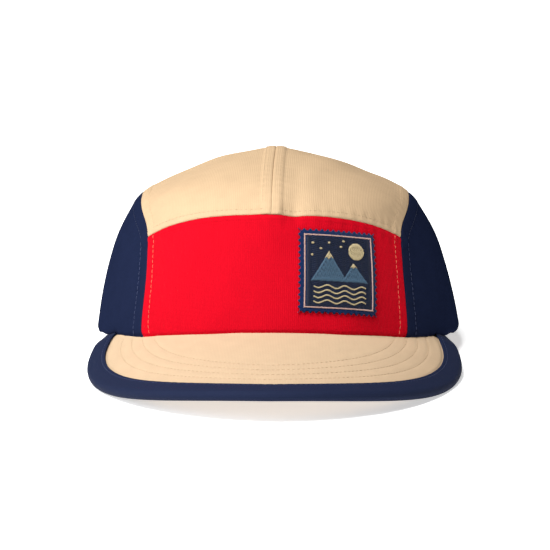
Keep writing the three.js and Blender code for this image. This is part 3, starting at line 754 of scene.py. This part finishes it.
def solid_faces(rows, columns, closed=False):
    """Faces of a sheet between an outer and an inner grid. A closed one wraps round."""
    inside = rows * columns
    last = columns if closed else columns - 1
    row, column = np.meshgrid(np.arange(rows - 1), np.arange(last), indexing="ij")
    row, column = row.ravel(), column.ravel()

    def at(r, c):
        return r * columns + c % columns

    outer = np.stack(
        [at(row, column), at(row, column + 1), at(row + 1, column + 1), at(row + 1, column)], axis=1
    )
    faces = [outer, outer[:, ::-1] + inside]
    c = np.arange(last)
    for r, order in ((0, 1), (rows - 1, -1)):
        edge = np.stack([at(r, c), at(r, c) + inside, at(r, c + 1) + inside, at(r, c + 1)], axis=1)
        faces.append(edge[:, ::order])
    if not closed:
        r = np.arange(rows - 1)
        for c, order in ((0, -1), (columns - 1, 1)):
            edge = np.stack([at(r, c), at(r, c) + inside, at(r + 1, c) + inside, at(r + 1, c)], axis=1)
            faces.append(edge[:, ::order])
    return np.vstack(faces)


def cloth_uv(grid, origin_column):
    """Lengths along the cloth in millimetres, across from one column and along from the first row."""
    across = np.linalg.norm(np.diff(grid, axis=1), axis=-1)
    across = np.pad(np.cumsum(across, axis=1), ((0, 0), (1, 0)))
    down = np.linalg.norm(np.diff(grid, axis=0), axis=-1)
    down = np.pad(np.cumsum(down, axis=0), ((1, 0), (0, 0)))
    return joined(across - across[:, origin_column : origin_column + 1], down)


def solid_object(name, outer, inner, material, uv=None, closed=False):
    points = np.concatenate([outer.reshape(-1, 3), inner.reshape(-1, 3)])
    return mesh_object(name, points, solid_faces(*outer.shape[:2], closed), material, uv)


def cloth_piece(name, outer, inner, material, slot, origin_column=0):
    """A closed piece of cloth that takes the place of the part of the same name."""
    uv = np.tile(cloth_uv(outer, origin_column).reshape(-1, 2), (2, 1))
    placed = solid_object(name + "_cloth", outer, inner, material, uv)
    finish_piece(placed, slot, name)


def finish_piece(placed, slot, *nodes):
    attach(placed, "root")
    if nodes:
        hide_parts(*nodes)


# Materials

def srgb(red, green, blue):
    """Linear colour from the 0 to 255 values of a picture."""
    values = np.array([red, green, blue]) / 255
    linear = np.where(values <= 0.04045, values / 12.92, ((values + 0.055) / 1.055) ** 2.4)
    return (*linear, 1)


def principled(name):
    material = bpy.data.materials.new(name)
    material.use_nodes = True
    return material, material.node_tree.nodes["Principled BSDF"]


def add_node(material, kind, inputs, **settings):
    """Outputs of a new shader node. Each input takes a value, or a link from another output."""
    tree = material.node_tree
    made = tree.nodes.new("ShaderNode" + kind)
    for name, value in settings.items():
        setattr(made, name, value)
    for name, value in inputs.items():
        if isinstance(value, bpy.types.NodeSocket):
            tree.links.new(value, made.inputs[name])
        else:
            made.inputs[name].default_value = value
    return made.outputs


def cloth_material(name, colour, rib, cross, strength, sheen=0.0, gloss=0.05, mottle=0.06):
    """Woven cloth: ribs along the length, a finer cross thread, a slight mottle, and a colour that is
    darker where the weave is low.
    """
    material, shader = principled(name)
    shader.inputs["Roughness"].default_value = CLOTH_ROUGHNESS
    shader.inputs["Sheen Weight"].default_value = sheen
    shader.inputs["Sheen Roughness"].default_value = SHEEN_ROUGHNESS
    shader.inputs["Specular IOR Level"].default_value = gloss

    def add(kind, inputs, **settings):
        return add_node(material, kind, inputs, **settings)

    place = add("UVMap", {}, uv_map="cloth")["UV"]
    waves = []
    for direction, pitch in (("X", rib), ("Y", cross)):
        wave = {
            "Vector": place, "Scale": WAVE_TEXTURE_PERIOD / pitch, "Distortion": WEAVE_DISTORTION,
            "Detail": 1, "Detail Scale": WEAVE_DETAIL_SCALE,
        }
        waves.append(add("TexWave", wave, bands_direction=direction)["Fac"])
    weave = add("Math", {0: waves[1], 1: CROSS_SHARE, 2: waves[0]}, operation="MULTIPLY_ADD")[0]
    fuzz = add("TexNoise", {"Vector": place, "Scale": FUZZ_SCALE, "Detail": 3})["Fac"]
    height = add("Math", {0: weave, 1: fuzz}, operation="ADD")[0]
    relief = add("Bump", {"Height": height, "Strength": strength, "Distance": RELIEF_DEPTH * MM})
    patches = add("TexNoise", {"Vector": place, "Scale": MOTTLE_SCALE, "Detail": 4})["Fac"]
    shade = add("Math", {0: patches, 1: mottle * 2, 2: 1 - mottle}, operation="MULTIPLY_ADD")[0]
    # The colour follows the weave's height: darker where the weave is low.
    thread = add("Math", {0: height, 1: mottle, 2: shade}, operation="MULTIPLY_ADD")[0]
    tint = add("VectorMath", {0: colour[:3], "Scale": thread}, operation="SCALE")
    material.node_tree.links.new(relief["Normal"], shader.inputs["Normal"])
    material.node_tree.links.new(tint["Vector"], shader.inputs["Base Color"])
    return material


def plain_material(name, colour, roughness, sheen=0.0):
    material, shader = principled(name)
    shader.inputs["Specular IOR Level"].default_value = PLAIN_GLOSS
    shader.inputs["Base Color"].default_value = colour
    shader.inputs["Roughness"].default_value = roughness
    shader.inputs["Sheen Weight"].default_value = sheen
    return material


RED = cloth_material("red canvas", srgb(164, 2, 21), rib=0.9, cross=0.6, strength=0.5)
TAN = cloth_material("tan canvas", srgb(164, 140, 111), rib=0.9, cross=0.7, strength=0.34, mottle=0.08)
# The brim's canvas is the crown's tan with a finer, fainter weave. Its colour is a little lighter than
# the crown's tan, which is painted light for the brighter light the brim catches.
BRIM_TAN_PAINTED_LIGHTER = cloth_material(
    "brim canvas painted lighter", srgb(165, 143, 117), rib=0.7, cross=0.6, strength=0.2, mottle=0.08
)
NAVY = cloth_material(
    "navy canvas", srgb(20, 26, 46), rib=0.9, cross=0.6, strength=0.5, gloss=0.0, mottle=0.12
)
NAVY_TAPE = cloth_material("navy tape", srgb(19, 26, 48), rib=0.7, cross=0.5, strength=0.25, gloss=0.1)
WEBBING = cloth_material("navy webbing", srgb(12, 18, 46), rib=1.6, cross=1.1, strength=0.9, sheen=0.02)
PATCH_BLUE = cloth_material("patch cloth", srgb(9, 28, 62), rib=0.5, cross=0.5, strength=0.4, sheen=0.1)
CREAM_THREAD = plain_material("cream thread", srgb(157, 143, 109), 0.5, 0.1)
ORANGE_THREAD = plain_material("orange thread", srgb(176, 92, 68), 0.6)
TAN_THREAD = plain_material("tan thread", srgb(162, 139, 110), 0.6)
NAVY_THREAD = plain_material("navy thread", srgb(38, 46, 76), 0.55, 0.05)
DARK_THREAD = plain_material("dark thread", srgb(25, 32, 55), 0.6)
BLUE_THREAD = plain_material("blue thread", srgb(52, 77, 97), 0.5, 0.1)
FRAME_THREAD = plain_material("frame thread", srgb(166, 135, 126), 0.5, 0.1)
FIELD_THREAD = plain_material("field thread", srgb(11, 21, 42), 0.5, 0.05)
BUCKLE_PLASTIC = plain_material("dark plastic", srgb(34, 36, 42), 0.4)


# Crown panels

def front_seams():
    """The front panel's seams, each with the distance of its row of stitches."""
    return {"front": TAN_FRONT_ROW, "side_right": RED_ROW, "side_left": RED_ROW}


def top_seams(side):
    return {"front": TAN_FRONT_ROW, "centre": TAN_CENTRE_ROW, "top_" + side: TAN_SIDE_ROW}


def side_seams(side):
    return {"side_" + side: NAVY_ROW, "top_" + side: NAVY_ROW}


def crown_cloth(name, edges, u, v, seams, material, slot, origin_column, sewn):
    """One crown panel. Its sewn edges are held back by the seam's opening."""
    places = panel_places(edges, u, v)
    base = crown_point(places)
    for side, (edge, neighbour) in {
        "left": ((slice(None), 0), (slice(None), 1)),
        "right": ((slice(None), -1), (slice(None), -2)),
        "far": ((-1, slice(None)), (-2, slice(None))),
        "near": ((0, slice(None)), (1, slice(None))),
    }.items():
        if side in sewn:
            length = np.linalg.norm(base[neighbour] - base[edge], axis=-1)[:, None]
            places[edge] += (places[neighbour] - places[edge]) * SEAM_OPENING / length
    rim = np.linalg.norm(places, axis=-1) > 1 - RIM_MARGIN
    base = crown_point(places)
    normal = crown_normal(places)
    over_hem = base[..., 2] - hem_height(base[..., 0], base[..., 1])
    height = crown_relief(base, seams) - HEM_TURN * bump(over_hem, 0, HEM_TURN_WIDTH)

    def surface(depth):
        points = base + normal * (height - depth)[..., None]
        points[rim, 2] = hem_height(points[rim, 0], points[rim, 1])
        return points

    cloth_piece(name, surface(0), surface(CLOTH), material, slot, origin_column)


def front_panel():
    edges = {
        "near": lambda u: rim_place(FRONT_FOOT * (2 * u - 1)),
        "far": lambda u: along(whole_front_seam, u),
        "left": lambda v: along(side_seam * LEFT, 1 - v),
        "right": lambda v: along(side_seam, 1 - v),
    }
    u = stations(FRONT_GRID[0], SEAM_FINENESS, ("start", "end"))
    v = stations(FRONT_GRID[1], SEAM_FINENESS, ("end",))
    sewn = ("left", "right", "far")
    crown_cloth("front_panel", edges, u, v, front_seams(), RED, "red_canvas", len(u) // 2, sewn)


def top_back_edge(u):
    round_opening = opening_place((1 - np.minimum(u / OPENING_EDGE, 1)) * math.pi / 2)
    share = np.clip((u - OPENING_EDGE) / (1 - OPENING_EDGE), 0, 1)
    on_rim = rim_place(mix(math.pi - OPENING_HALF_ANGLE, BACK_FOOT, share))
    return np.where((u <= OPENING_EDGE)[:, None], round_opening, on_rim)


def top_panel(side, flip):
    edges = {
        "near": lambda u: along(front_seam * flip, u),
        "far": lambda u: top_back_edge(u) * flip,
        "left": centre_seam_place,
        "right": lambda v: along(top_seam * flip, v),
    }
    u = stations(TOP_GRID[0], SEAM_FINENESS, ("start", "end"))
    v = stations(TOP_GRID[1], SEAM_FINENESS, ("start",))
    sewn = ("near", "right")
    crown_cloth("top_panel_" + side, edges, u, v, top_seams(side), TAN, "tan_canvas", 0, sewn)


def side_panel(side, flip):
    edges = {
        "near": lambda u: rim_place(mix(FRONT_FOOT, BACK_FOOT, u)) * flip,
        "far": lambda u: along(top_seam * flip, u * SIDE_TOP_EDGE),
        "left": lambda v: along(side_seam * flip, 1 - v),
        "right": lambda v: along(top_seam * flip, mix(1, SIDE_TOP_EDGE, v)),
    }
    u = stations(SIDE_GRID[0], SEAM_FINENESS, ("start", "end"))
    v = stations(SIDE_GRID[1], SEAM_FINENESS, ("end",))
    sewn = ("left", "right", "far")
    crown_cloth("side_panel_" + side, edges, u, v, side_seams(side), NAVY, "navy_canvas", 0, sewn)


# Sweatband, strap and buckle

def band_point(angle, height, depth):
    """A point a height over the hem in the direction of an angle, moved in by a depth."""
    angle, height, depth = np.broadcast_arrays(angle, height, depth)
    foot = crown_point(rim_place(angle))[..., 2]

    def higher(share):
        return crown_point(rim_place(angle) * share[..., None])[..., 2] > foot + height

    share = np.where(height > 0, last_true(np.zeros(angle.shape), np.ones(angle.shape), higher), 1)
    places = rim_place(angle) * share[..., None]
    points = crown_point(places) - crown_normal(places) * depth[..., None]
    rim = height <= 0
    points[rim, 2] = hem_height(points[rim, 0], points[rim, 1])
    return points


def past_opening(distance):
    return math.pi - math.asin((OPENING_HALF_WIDTH + distance) / CROWN_HALF_WIDTH)


def sweatband():
    end = past_opening(BRIM_CLOTH_GAP)
    room_full = past_opening(STRAP_TUCK + 2 * STRAP_THICKNESS)
    room_start = past_opening(2 * STRAP_TUCK)
    angles = np.linspace(-end, end, BAND_GRID[0])[None, :]
    heights = np.linspace(0, SWEATBAND_HEIGHT, BAND_GRID[1])[:, None]
    room = smooth(np.abs(angles), room_start, room_full) * (STRAP_THICKNESS + 2 * BRIM_CLOTH_GAP)
    outer = band_point(angles, heights, BAND_DEPTH + room)
    inner = band_point(angles, heights, BAND_DEPTH + room + SWEATBAND_CLOTH)
    cloth_piece("sweatband", outer, inner, NAVY_TAPE, "navy_tape")


def strap_point(angle, height, depth):
    """The strap is flat across, so each of its points lies between its two long edges."""
    low = band_point(angle, STRAP_ABOVE_HEM, BAND_DEPTH + depth)
    high = band_point(angle, STRAP_ABOVE_HEM + STRAP_WIDTH, BAND_DEPTH + depth)
    return mix(low, high, np.asarray(height)[..., None] / STRAP_WIDTH)


def back_strap():
    end = past_opening(STRAP_TUCK)
    angles = np.linspace(end, 2 * math.pi - end, STRAP_GRID[0])[None, :]
    heights = np.linspace(0, STRAP_WIDTH, STRAP_GRID[1])[:, None]
    outer = strap_point(angles, heights, 0.0)
    inner = strap_point(angles, heights, STRAP_THICKNESS)
    cloth_piece("back_strap", outer, inner, WEBBING, "navy_webbing")


def buckle_loop(margin, radius):
    """Rounded rectangle round the strap's section, as heights and depths."""
    corners = (
        (STRAP_WIDTH + margin - radius, STRAP_THICKNESS + margin - radius, 0),
        (-margin + radius, STRAP_THICKNESS + margin - radius, 90),
        (-margin + radius, -margin + radius, 180),
        (STRAP_WIDTH + margin - radius, -margin + radius, 270),
    )
    turns = np.radians(np.linspace(0, 90, CORNER_POINTS))
    loop = [
        joined(height + radius * np.cos(turns + math.radians(start)),
               depth + radius * np.sin(turns + math.radians(start)))
        for height, depth, start in corners
    ]
    return np.vstack(loop)


def strap_buckle():
    half_angle = BUCKLE_LENGTH / 2 / CROWN_HALF_WIDTH
    middle = np.linspace(-BUCKLE_ROUNDING_START, BUCKLE_ROUNDING_START, BUCKLE_POINTS)
    ends = np.array(BUCKLE_END_SHARES)
    shares = np.concatenate([-ends[::-1], middle, ends])
    past = np.clip((np.abs(shares) - BUCKLE_ROUNDING_START) / (1 - BUCKLE_ROUNDING_START), 0, 1)

    def grid(margin, radius, rounding):
        rows = []
        for share, less in zip(shares, rounding * past**2):
            loop = buckle_loop(margin - less, radius)
            angle = np.full(len(loop), math.pi + half_angle * share)
            rows.append(strap_point(angle, loop[:, 0], loop[:, 1]))
        return np.stack(rows)

    outer = grid(BRIM_CLOTH_GAP + BUCKLE_WALL, BUCKLE_OUTER_RADIUS, BUCKLE_ROUNDING)
    inner = grid(BRIM_CLOTH_GAP, BUCKLE_INNER_RADIUS, 0)
    placed = solid_object("strap_buckle_sleeve", outer, inner, BUCKLE_PLASTIC, closed=True)
    finish_piece(placed, "dark_plastic", "strap_buckle")


# Brim

TAN_BORDER = BINDING_OUTER + BINDING_WIDTH


def outline_angles(count):
    return np.linspace(-BRIM_END_ANGLE, BRIM_END_ANGLE, count)


OUTLINE_LINE = joined(*brim_outline(outline_angles(OUTLINE_POINTS), 0))


def brim_relief(arc, ahead):
    """Height over the plain brim sheet: the rows of stitches dip and the cloth swells between."""
    inset, travelled = distance_to(joined(arc, ahead), OUTLINE_LINE)
    height = BRIM_SWELL - BRIM_EDGE_DIP * bump(inset, TAN_BORDER, BRIM_EDGE_WIDTH)
    pull = stitch_pull(travelled, BRIM_PULL)
    for row in BRIM_ROWS:
        height = height - BRIM_ROW_DIP * bump(inset, TAN_BORDER + row, BRIM_ROW_WIDTH) * pull
    return height


def brim_grid(columns, rows):
    turns = np.linspace(-1, 1, columns)
    shares = stations(rows, BRIM_FINENESS, ("end",))
    hem_angle = turns * BRIM_HEM_ANGLE
    inner_arc, inner_ahead, _ = brim_place(
        (CROWN_HALF_WIDTH - HEM_DEPTH) * np.sin(hem_angle),
        -(CROWN_HALF_LENGTH - HEM_DEPTH) * np.cos(hem_angle),
        0,
    )
    outer_arc, outer_ahead = brim_outline(turns * BRIM_END_ANGLE, BINDING_OUTER)
    share = shares[:, None]
    return mix(inner_arc, outer_arc, share), mix(inner_ahead, outer_ahead, share)


def brim_sheet(name, top, bottom, grid, faces_up):
    """One cloth of the brim, with its relief on the side that shows."""
    arc, ahead = brim_grid(*grid)
    relief = brim_relief(arc, ahead)
    upper = brim_point(arc, ahead, top + relief * faces_up)
    lower = brim_point(arc, ahead, bottom - relief * (not faces_up))
    cloth_piece(name, upper, lower, BRIM_TAN_PAINTED_LIGHTER, "tan_canvas", grid[0] // 2)


def binding_width(angle):
    """Width of the binding's legs, which narrow where the brim runs out under the hem."""
    return last_true(
        np.zeros(angle.shape),
        np.full(angle.shape, BINDING_WIDTH),
        lambda width: beside_crown(angle, BINDING_OUTER + width, HEM_DEPTH),
    )


def binding_relief(width, inset, travelled):
    """Height of the binding over its plain section: a dip at its stitches and small puckers."""
    row = width - BINDING_ROW
    dip = BINDING_DIP * bump(inset, row, BINDING_DIP_WIDTH) * stitch_pull(travelled, BINDING_PULL)
    pucker = BINDING_PUCKER * np.sin(2 * math.pi * travelled / BINDING_PUCKER_LENGTH)
    fading = smooth(inset, -1, row) * (1 + np.sin(travelled / BINDING_PUCKER_DRIFT)) / 2
    edge = BINDING_EDGE_DIP * bump(inset, width, BINDING_EDGE_WIDTH)
    return pucker * fading - dip - edge


def brim_binding():
    angles = outline_angles(BINDING_GRID[0])
    width = binding_width(angles)[:, None]
    leg = width * BINDING_LEG
    travelled = travelled_along(joined(*brim_outline(angles, 0)))[:, None]
    bends = np.linspace(0, math.pi, BINDING_GRID[1])[None, :]

    def section(radius, relief):
        inset = np.concatenate([leg, -radius * np.sin(bends) + 0 * width, leg[:, ::-1]], axis=1)
        lift = np.concatenate(
            [
                radius + relief * binding_relief(width, leg, travelled),
                radius * np.cos(bends) + 0 * width,
                -radius + 0 * leg,
            ],
            axis=1,
        )
        arc, ahead = brim_outline(angles[:, None] + 0 * inset, BINDING_OUTER + inset)
        return brim_point(arc, ahead, BINDING_MIDDLE + lift)

    outer, inner = section(BINDING_OUTER, 1), section(BINDING_INNER, 0)
    cloth_piece("brim_binding", outer, inner, NAVY_TAPE, "navy_tape")


# Threads

def strand_faces(count):
    rings, sides = len(STRAND_SHARES), len(STRAND_RING)
    faces = []
    for ring in range(rings - 1):
        for side in range(sides):
            a, b = ring * sides + side, ring * sides + (side + 1) % sides
            faces.append([a, b, b + sides, a + sides])
    for start in (0, (rings - 1) * sides):
        for side in (0, 2):
            faces.append([start, start + side + 1, start + side + 2, start + (side + 3) % sides])
    faces = np.array(faces)
    starts = np.arange(count) * rings * sides
    return (faces[None] + starts[:, None, None]).reshape(-1, 4)


def strand_points(lines, normals, radius):
    """Points of round strands along lines of len(STRAND_SHARES) points each."""
    heading = unit(lines[:, -1] - lines[:, 0])[:, None]
    normals = unit(normals - (normals * heading).sum(-1, keepdims=True) * heading)
    side = np.cross(normals, heading)
    centre = lines + normals * (STRAND_SINK * radius)[None, :, None]
    swell = (STRAND_SWELL * radius)[None, :, None, None]
    around, over = np.cos(STRAND_RING)[:, None], np.sin(STRAND_RING)[:, None]
    ring = around * side[:, :, None] + over * normals[:, :, None]
    return centre[:, :, None] + swell * ring


def stitches_on(line, normals):
    """Lines of single stitches along a row, each with its normals."""
    lengths = travelled_along(line)
    count = int(lengths[-1] // STITCH_LENGTH)
    starts = np.arange(count)[:, None] * lengths[-1] / count
    where = starts + (STITCH_SPACE / 2 + STRAND_SHARES * (STITCH_LENGTH - STITCH_SPACE))[None, :]
    return at_lengths(where, lengths, line), at_lengths(where, lengths, normals)


def thread_object(name, rows, material, slot, radius=THREAD_RADIUS):
    points = np.concatenate([strand_points(lines, normals, radius) for lines, normals in rows])
    faces = strand_faces(len(points))
    finish_piece(mesh_object(name, points, faces, material, sharp=math.pi), slot)


def crown_row(seam, distance, seams, trim=(0, 0)):
    """A row of stitches at a distance beside a seam, to its right if the distance is positive."""
    places = along(seam, np.linspace(trim[0], 1 - trim[1], ROW_POINTS))
    base, normal = crown_point(places), crown_normal(places)
    heading = unit(np.gradient(base, axis=0))
    places = places_under(base + np.cross(heading, normal) * distance, places)
    places = places[np.linalg.norm(places, axis=-1) < ROW_RIM_SHARE]
    base, normal = crown_point(places), crown_normal(places)
    return stitches_on(base + normal * crown_relief(base, seams)[:, None], normal)


def crown_threads():
    red, tan, navy, dark = [], [], [], []
    for side, flip, way in (("right", RIGHT, 1), ("left", LEFT, -1)):
        top, beside = top_seams(side), side_seams(side)
        red.append(crown_row(side_seam * flip, RED_ROW * way, front_seams()))
        tan.append(crown_row(front_seam * flip, -TAN_FRONT_ROW * way, top, FRONT_TRIM))
        tan.append(crown_row(centre_seam, TAN_CENTRE_ROW * way, top, CENTRE_TRIM))
        tan.append(crown_row(top_seam * flip, -TAN_SIDE_ROW * way, top, START_TRIM))
        navy.append(crown_row(side_seam * flip, -NAVY_ROW * way, beside, START_TRIM))
        dark.append(crown_row(top_seam * flip, NAVY_ROW * way, beside, START_TRIM))
    thread_object("front_stitches", red, ORANGE_THREAD, "red_canvas")
    thread_object("top_stitches", tan, TAN_THREAD, "tan_canvas")
    thread_object("side_stitches", navy, NAVY_THREAD, "navy_canvas")
    thread_object("upper_stitches", dark, DARK_THREAD, "navy_canvas")


def brim_row(inset, up, lift):
    """A row of stitches along the brim, where it isn't under the crown."""
    angles = outline_angles(BRIM_ROW_POINTS)
    angles = angles[beside_crown(angles, inset, -ROW_CLEARANCE)]
    arc, ahead = brim_outline(angles, inset)
    return stitches_on(brim_point(arc, ahead, lift(arc, ahead)), up * brim_normal(arc))


def brim_threads():
    def under(arc, ahead):
        return BRIM_UNDER_BOTTOM - brim_relief(arc, ahead)

    def on_binding(arc, _):
        return BINDING_MIDDLE + BINDING_OUTER - BINDING_DIP + 0 * arc

    tan = []
    for row in BRIM_ROWS:
        for up, lift in ((1, brim_relief), (-1, under)):
            tan.append(brim_row(TAN_BORDER + row, up, lift))
    thread_object("brim_stitches", tan, TAN_THREAD, "tan_canvas")
    row = brim_row(TAN_BORDER - BINDING_ROW, 1, on_binding)
    thread_object("binding_stitches", [row], NAVY_THREAD, "navy_tape")


# Patch

patch_centre = np.array(PATCH_CENTRE)
patch_origin = crown_point(patch_centre)
patch_normal = crown_normal(patch_centre)
patch_level = unit(np.cross([0, 0, 1], patch_normal))
patch_aside = np.cross(patch_normal, patch_level)
patch_right = patch_level * math.cos(PATCH_TURN) - patch_aside * math.sin(PATCH_TURN)
patch_up = np.cross(patch_normal, patch_right)


def patch_points(right, up, height):
    """Points over the front panel from places on the patch, with their normals."""
    places = np.broadcast_to(patch_centre, (*np.shape(right), 2)).astype(float)
    for _ in range(PATCH_SEARCH_STEPS):
        rightward, rearward = crown_steps(places)
        away = crown_point(places) - patch_origin
        a, b = rightward @ patch_right, rearward @ patch_right
        c, d = rightward @ patch_up, rearward @ patch_up
        e, f = right - away @ patch_right, up - away @ patch_up
        spread = a * d - b * c
        places = places + joined((e * d - b * f) / spread, (a * f - e * c) / spread)
    normal = crown_normal(places)
    base = crown_point(places)
    rise = height + slow_waves(base) + soft_folds(base)
    return base + normal * np.asarray(rise)[..., None], normal


def patch_bite(share):
    """Depth of the round bites along a side of the patch."""
    tooth = share * PATCH_TEETH % 1
    return PATCH_TOOTH_DEPTH * np.sqrt(np.clip(1 - ((tooth - 0.5) / PATCH_BITE_HALF_WIDTH) ** 2, 0, 1))


def patch_body():
    side = np.linspace(0, 1, PATCH_TEETH * PATCH_TOOTH_POINTS + 1)
    u, v = side[None, :], side[:, None]
    half = PATCH_SIDE / 2
    right, up = (2 * u - 1) * half + 0 * v, (2 * v - 1) * half + 0 * u
    near_side = smooth(np.abs(right), half - PATCH_BITE_REACH, half)
    near_end = smooth(np.abs(up), half - PATCH_BITE_REACH, half)
    bitten_right = right - np.sign(right) * near_side * patch_bite(v)
    bitten_up = up - np.sign(up) * near_end * patch_bite(u)
    from_edge = half - np.maximum(np.abs(right), np.abs(up))
    height = PATCH_CLOTH - PATCH_EDGE_DROP * bump(from_edge, 0, PATCH_EDGE_WIDTH)
    outer, _ = patch_points(bitten_right, bitten_up, PATCH_LIFT + height)
    inner, _ = patch_points(bitten_right, bitten_up, PATCH_LIFT)
    cloth_piece(
        "patch", outer, inner, PATCH_BLUE, "patch_cloth"
    )


def inside_polygon(corners):
    corners = np.array(corners, float)

    def test(x, y):
        inside = np.zeros(np.shape(x), bool)
        for (x0, y0), (x1, y1) in zip(corners, np.roll(corners, -1, axis=0)):
            crosses = (y0 > y) != (y1 > y)
            with np.errstate(divide="ignore", invalid="ignore"):
                at = x0 + (y - y0) * (x1 - x0) / (y1 - y0)
            inside ^= crosses & (x < at)
        return inside

    return test


def inside_circle(middle, radius):
    return lambda x, y: np.hypot(x - middle[0], y - middle[1]) < radius


def frame_line(x, y):
    away = np.maximum(np.abs(x), np.abs(y))
    return (away < FRAME_HALF) & (away > FRAME_HALF - FRAME_WIDTH)


def wave_line(level):
    def test(x, y):
        middle = level + WAVE_SWING * np.sin(2 * math.pi * x / WAVE_PERIOD)
        return (np.abs(y - middle) < WAVE_WIDTH / 2) & (np.abs(x) < WAVE_HALF_LENGTH)

    return test


def strands_in(test, turn):
    """Straight stitches side by side that fill a shape on the patch."""
    direction = np.array([math.cos(turn), math.sin(turn)])
    aside = np.array([-direction[1], direction[0]])
    starts, ends = [], []
    reach = np.arange(-SCAN_REACH, SCAN_REACH, SCAN_STEP)
    for index, offset in enumerate(np.arange(-SCAN_REACH, SCAN_REACH, STRAND_SPACING)):
        line = direction * reach[:, None] + aside * offset
        filled = test(line[:, 0], line[:, 1]).astype(int)
        edges = np.flatnonzero(np.diff(np.concatenate([[0], filled, [0]])))
        for first, last in zip(edges[::2], edges[1::2]):
            if last - first < SHORTEST_SCAN:
                continue
            length = (last - first) * SCAN_STEP
            parts = max(1, math.ceil(length / LONGEST_STRAND))
            cuts = np.linspace(0, 1, parts + 1)
            if parts > 1:
                cuts[1:-1] += (index % 3 - 1) * STRAND_SHIFT / parts
            for low, high in zip(cuts, cuts[1:]):
                starts.append(mix(line[first], line[last - 1], low))
                ends.append(mix(line[first], line[last - 1], high))
    return np.array(starts), np.array(ends)


def patch_strands(starts, ends, height):
    shares = STRAND_SHARES[None, :, None]
    flat = starts[:, None] * (1 - shares) + ends[:, None] * shares
    return patch_points(flat[..., 0], flat[..., 1], PATCH_LIFT + PATCH_CLOTH + height)


def any_of(tests):
    return lambda x, y: np.any([test(x, y) for test in tests], axis=0)


def patch_embroidery():
    """A plain landscape in a frame: sun, stars, two mountains with snow, and four waves."""
    mountains = [inside_polygon(corners) for corners in MOUNTAINS]
    snow = [inside_polygon(corners) for corners in SNOW]
    sun = inside_circle(SUN, SUN_RADIUS)
    stars = any_of([inside_circle(middle, STAR_RADIUS) for middle in STARS])
    waves = any_of([wave_line(level) for level in WAVE_LEVELS])
    layers = (
        ("patch_field", (inside_polygon(FIELD),), 0.0, 0.0, FIELD_THREAD),
        ("patch_mountains", mountains, 0.2, math.pi / 2, BLUE_THREAD),
        ("patch_motifs", (sun, stars, *snow), 0.38, math.pi / 2, CREAM_THREAD),
        ("patch_waves", (waves,), 0.2, math.pi / 2, CREAM_THREAD),
        ("patch_frame", (frame_line,), 0.15, math.pi / 4, FRAME_THREAD),
    )
    for name, shapes, height, turn, material in layers:
        rows = [patch_strands(*strands_in(shape, turn), height) for shape in shapes]
        thread_object(name, rows, material, "patch_cloth", STRAND_RADIUS)


# Studio

def place_facing(placed, place, back, up):
    """Puts a light or a camera at a place, with its back turned to a direction."""
    back = unit(back)
    side = unit(np.cross(up, back))
    axes = np.column_stack([side, np.cross(back, side), back])
    placed.matrix_world = Matrix.Translation(place) @ Matrix(axes.tolist()).to_4x4()


def soft_light(name, place, size, power):
    light = bpy.data.lights.new(name, "AREA")
    light.shape = "DISK"
    light.size = size
    light.energy = power
    back = np.array(place, float) - np.array(LIGHT_TARGET, float)
    place_facing(new_object(name, light), place, back, [0, 0, 1])


def floor():
    mesh = bpy.data.meshes.new("floor")
    corners = [(x * FLOOR_REACH, y * FLOOR_REACH, 0) for x, y in ((-1, -1), (1, -1), (1, 1), (-1, 1))]
    mesh.from_pydata(corners, [], [(0, 1, 2, 3)])
    material = plain_material("floor", (FLOOR_WHITE, FLOOR_WHITE, FLOOR_WHITE, 1), 0.9)
    shader = material.node_tree.nodes["Principled BSDF"]
    shader.inputs["Emission Color"].default_value = (1, 1, 1, 1)
    shader.inputs["Emission Strength"].default_value = FLOOR_GLOW
    mesh.materials.append(material)
    new_object("floor", mesh)


def studio():
    floor()
    world = bpy.data.worlds.new("studio")
    bpy.context.scene.world = world
    world.use_nodes = True
    background = world.node_tree.nodes["Background"]
    background.inputs["Color"].default_value = (1, 1, 1, 1)
    background.inputs["Strength"].default_value = WORLD_LIGHT
    for light in LIGHTS:
        soft_light(*light)
    bpy.context.scene.view_settings.view_transform = "Standard"


def camera():
    """The camera looks along the cap's length from a little above and to the right."""
    cos, sin = math.cos(CAMERA_TURN), math.sin(CAMERA_TURN)
    turn = np.array([[cos, -sin, 0], [sin, cos, 0], [0, 0, 1]])
    right = turn @ np.array([1, 0, 0])
    up = turn @ np.array([0, math.sin(CAMERA_RISE), math.cos(CAMERA_RISE)])
    forward = np.cross(up, right)
    middle = PICTURE_PIXELS / 2
    aim = forward * FOCAL_PIXELS + right * (middle - TARGET_PIXEL[0]) - up * (middle - TARGET_PIXEL[1])
    data = bpy.data.cameras.new("camera")
    data.sensor_width = SENSOR_WIDTH
    data.lens = FOCAL_PIXELS / PICTURE_PIXELS * SENSOR_WIDTH
    data.clip_start, data.clip_end = CAMERA_CLIP
    placed = new_object("camera", data)
    place = settled(CAMERA_TARGET - forward * CAMERA_DISTANCE)
    place_facing(placed, place.tolist(), LEAN_TURN @ -aim, LEAN_TURN @ up)
    bpy.context.scene.camera = placed


front_panel()
for side, flip in (("right", RIGHT), ("left", LEFT)):
    top_panel(side, flip)
    side_panel(side, flip)
sweatband()
back_strap()
strap_buckle()
brim_sheet("brim_top", 0, -BRIM_CLOTH, BRIM_TOP_GRID, True)
brim_sheet("brim_under", BRIM_UNDER_TOP, BRIM_UNDER_BOTTOM, BRIM_UNDER_GRID, False)
brim_binding()
patch_body()
patch_embroidery()
crown_threads()
brim_threads()
studio()
camera()
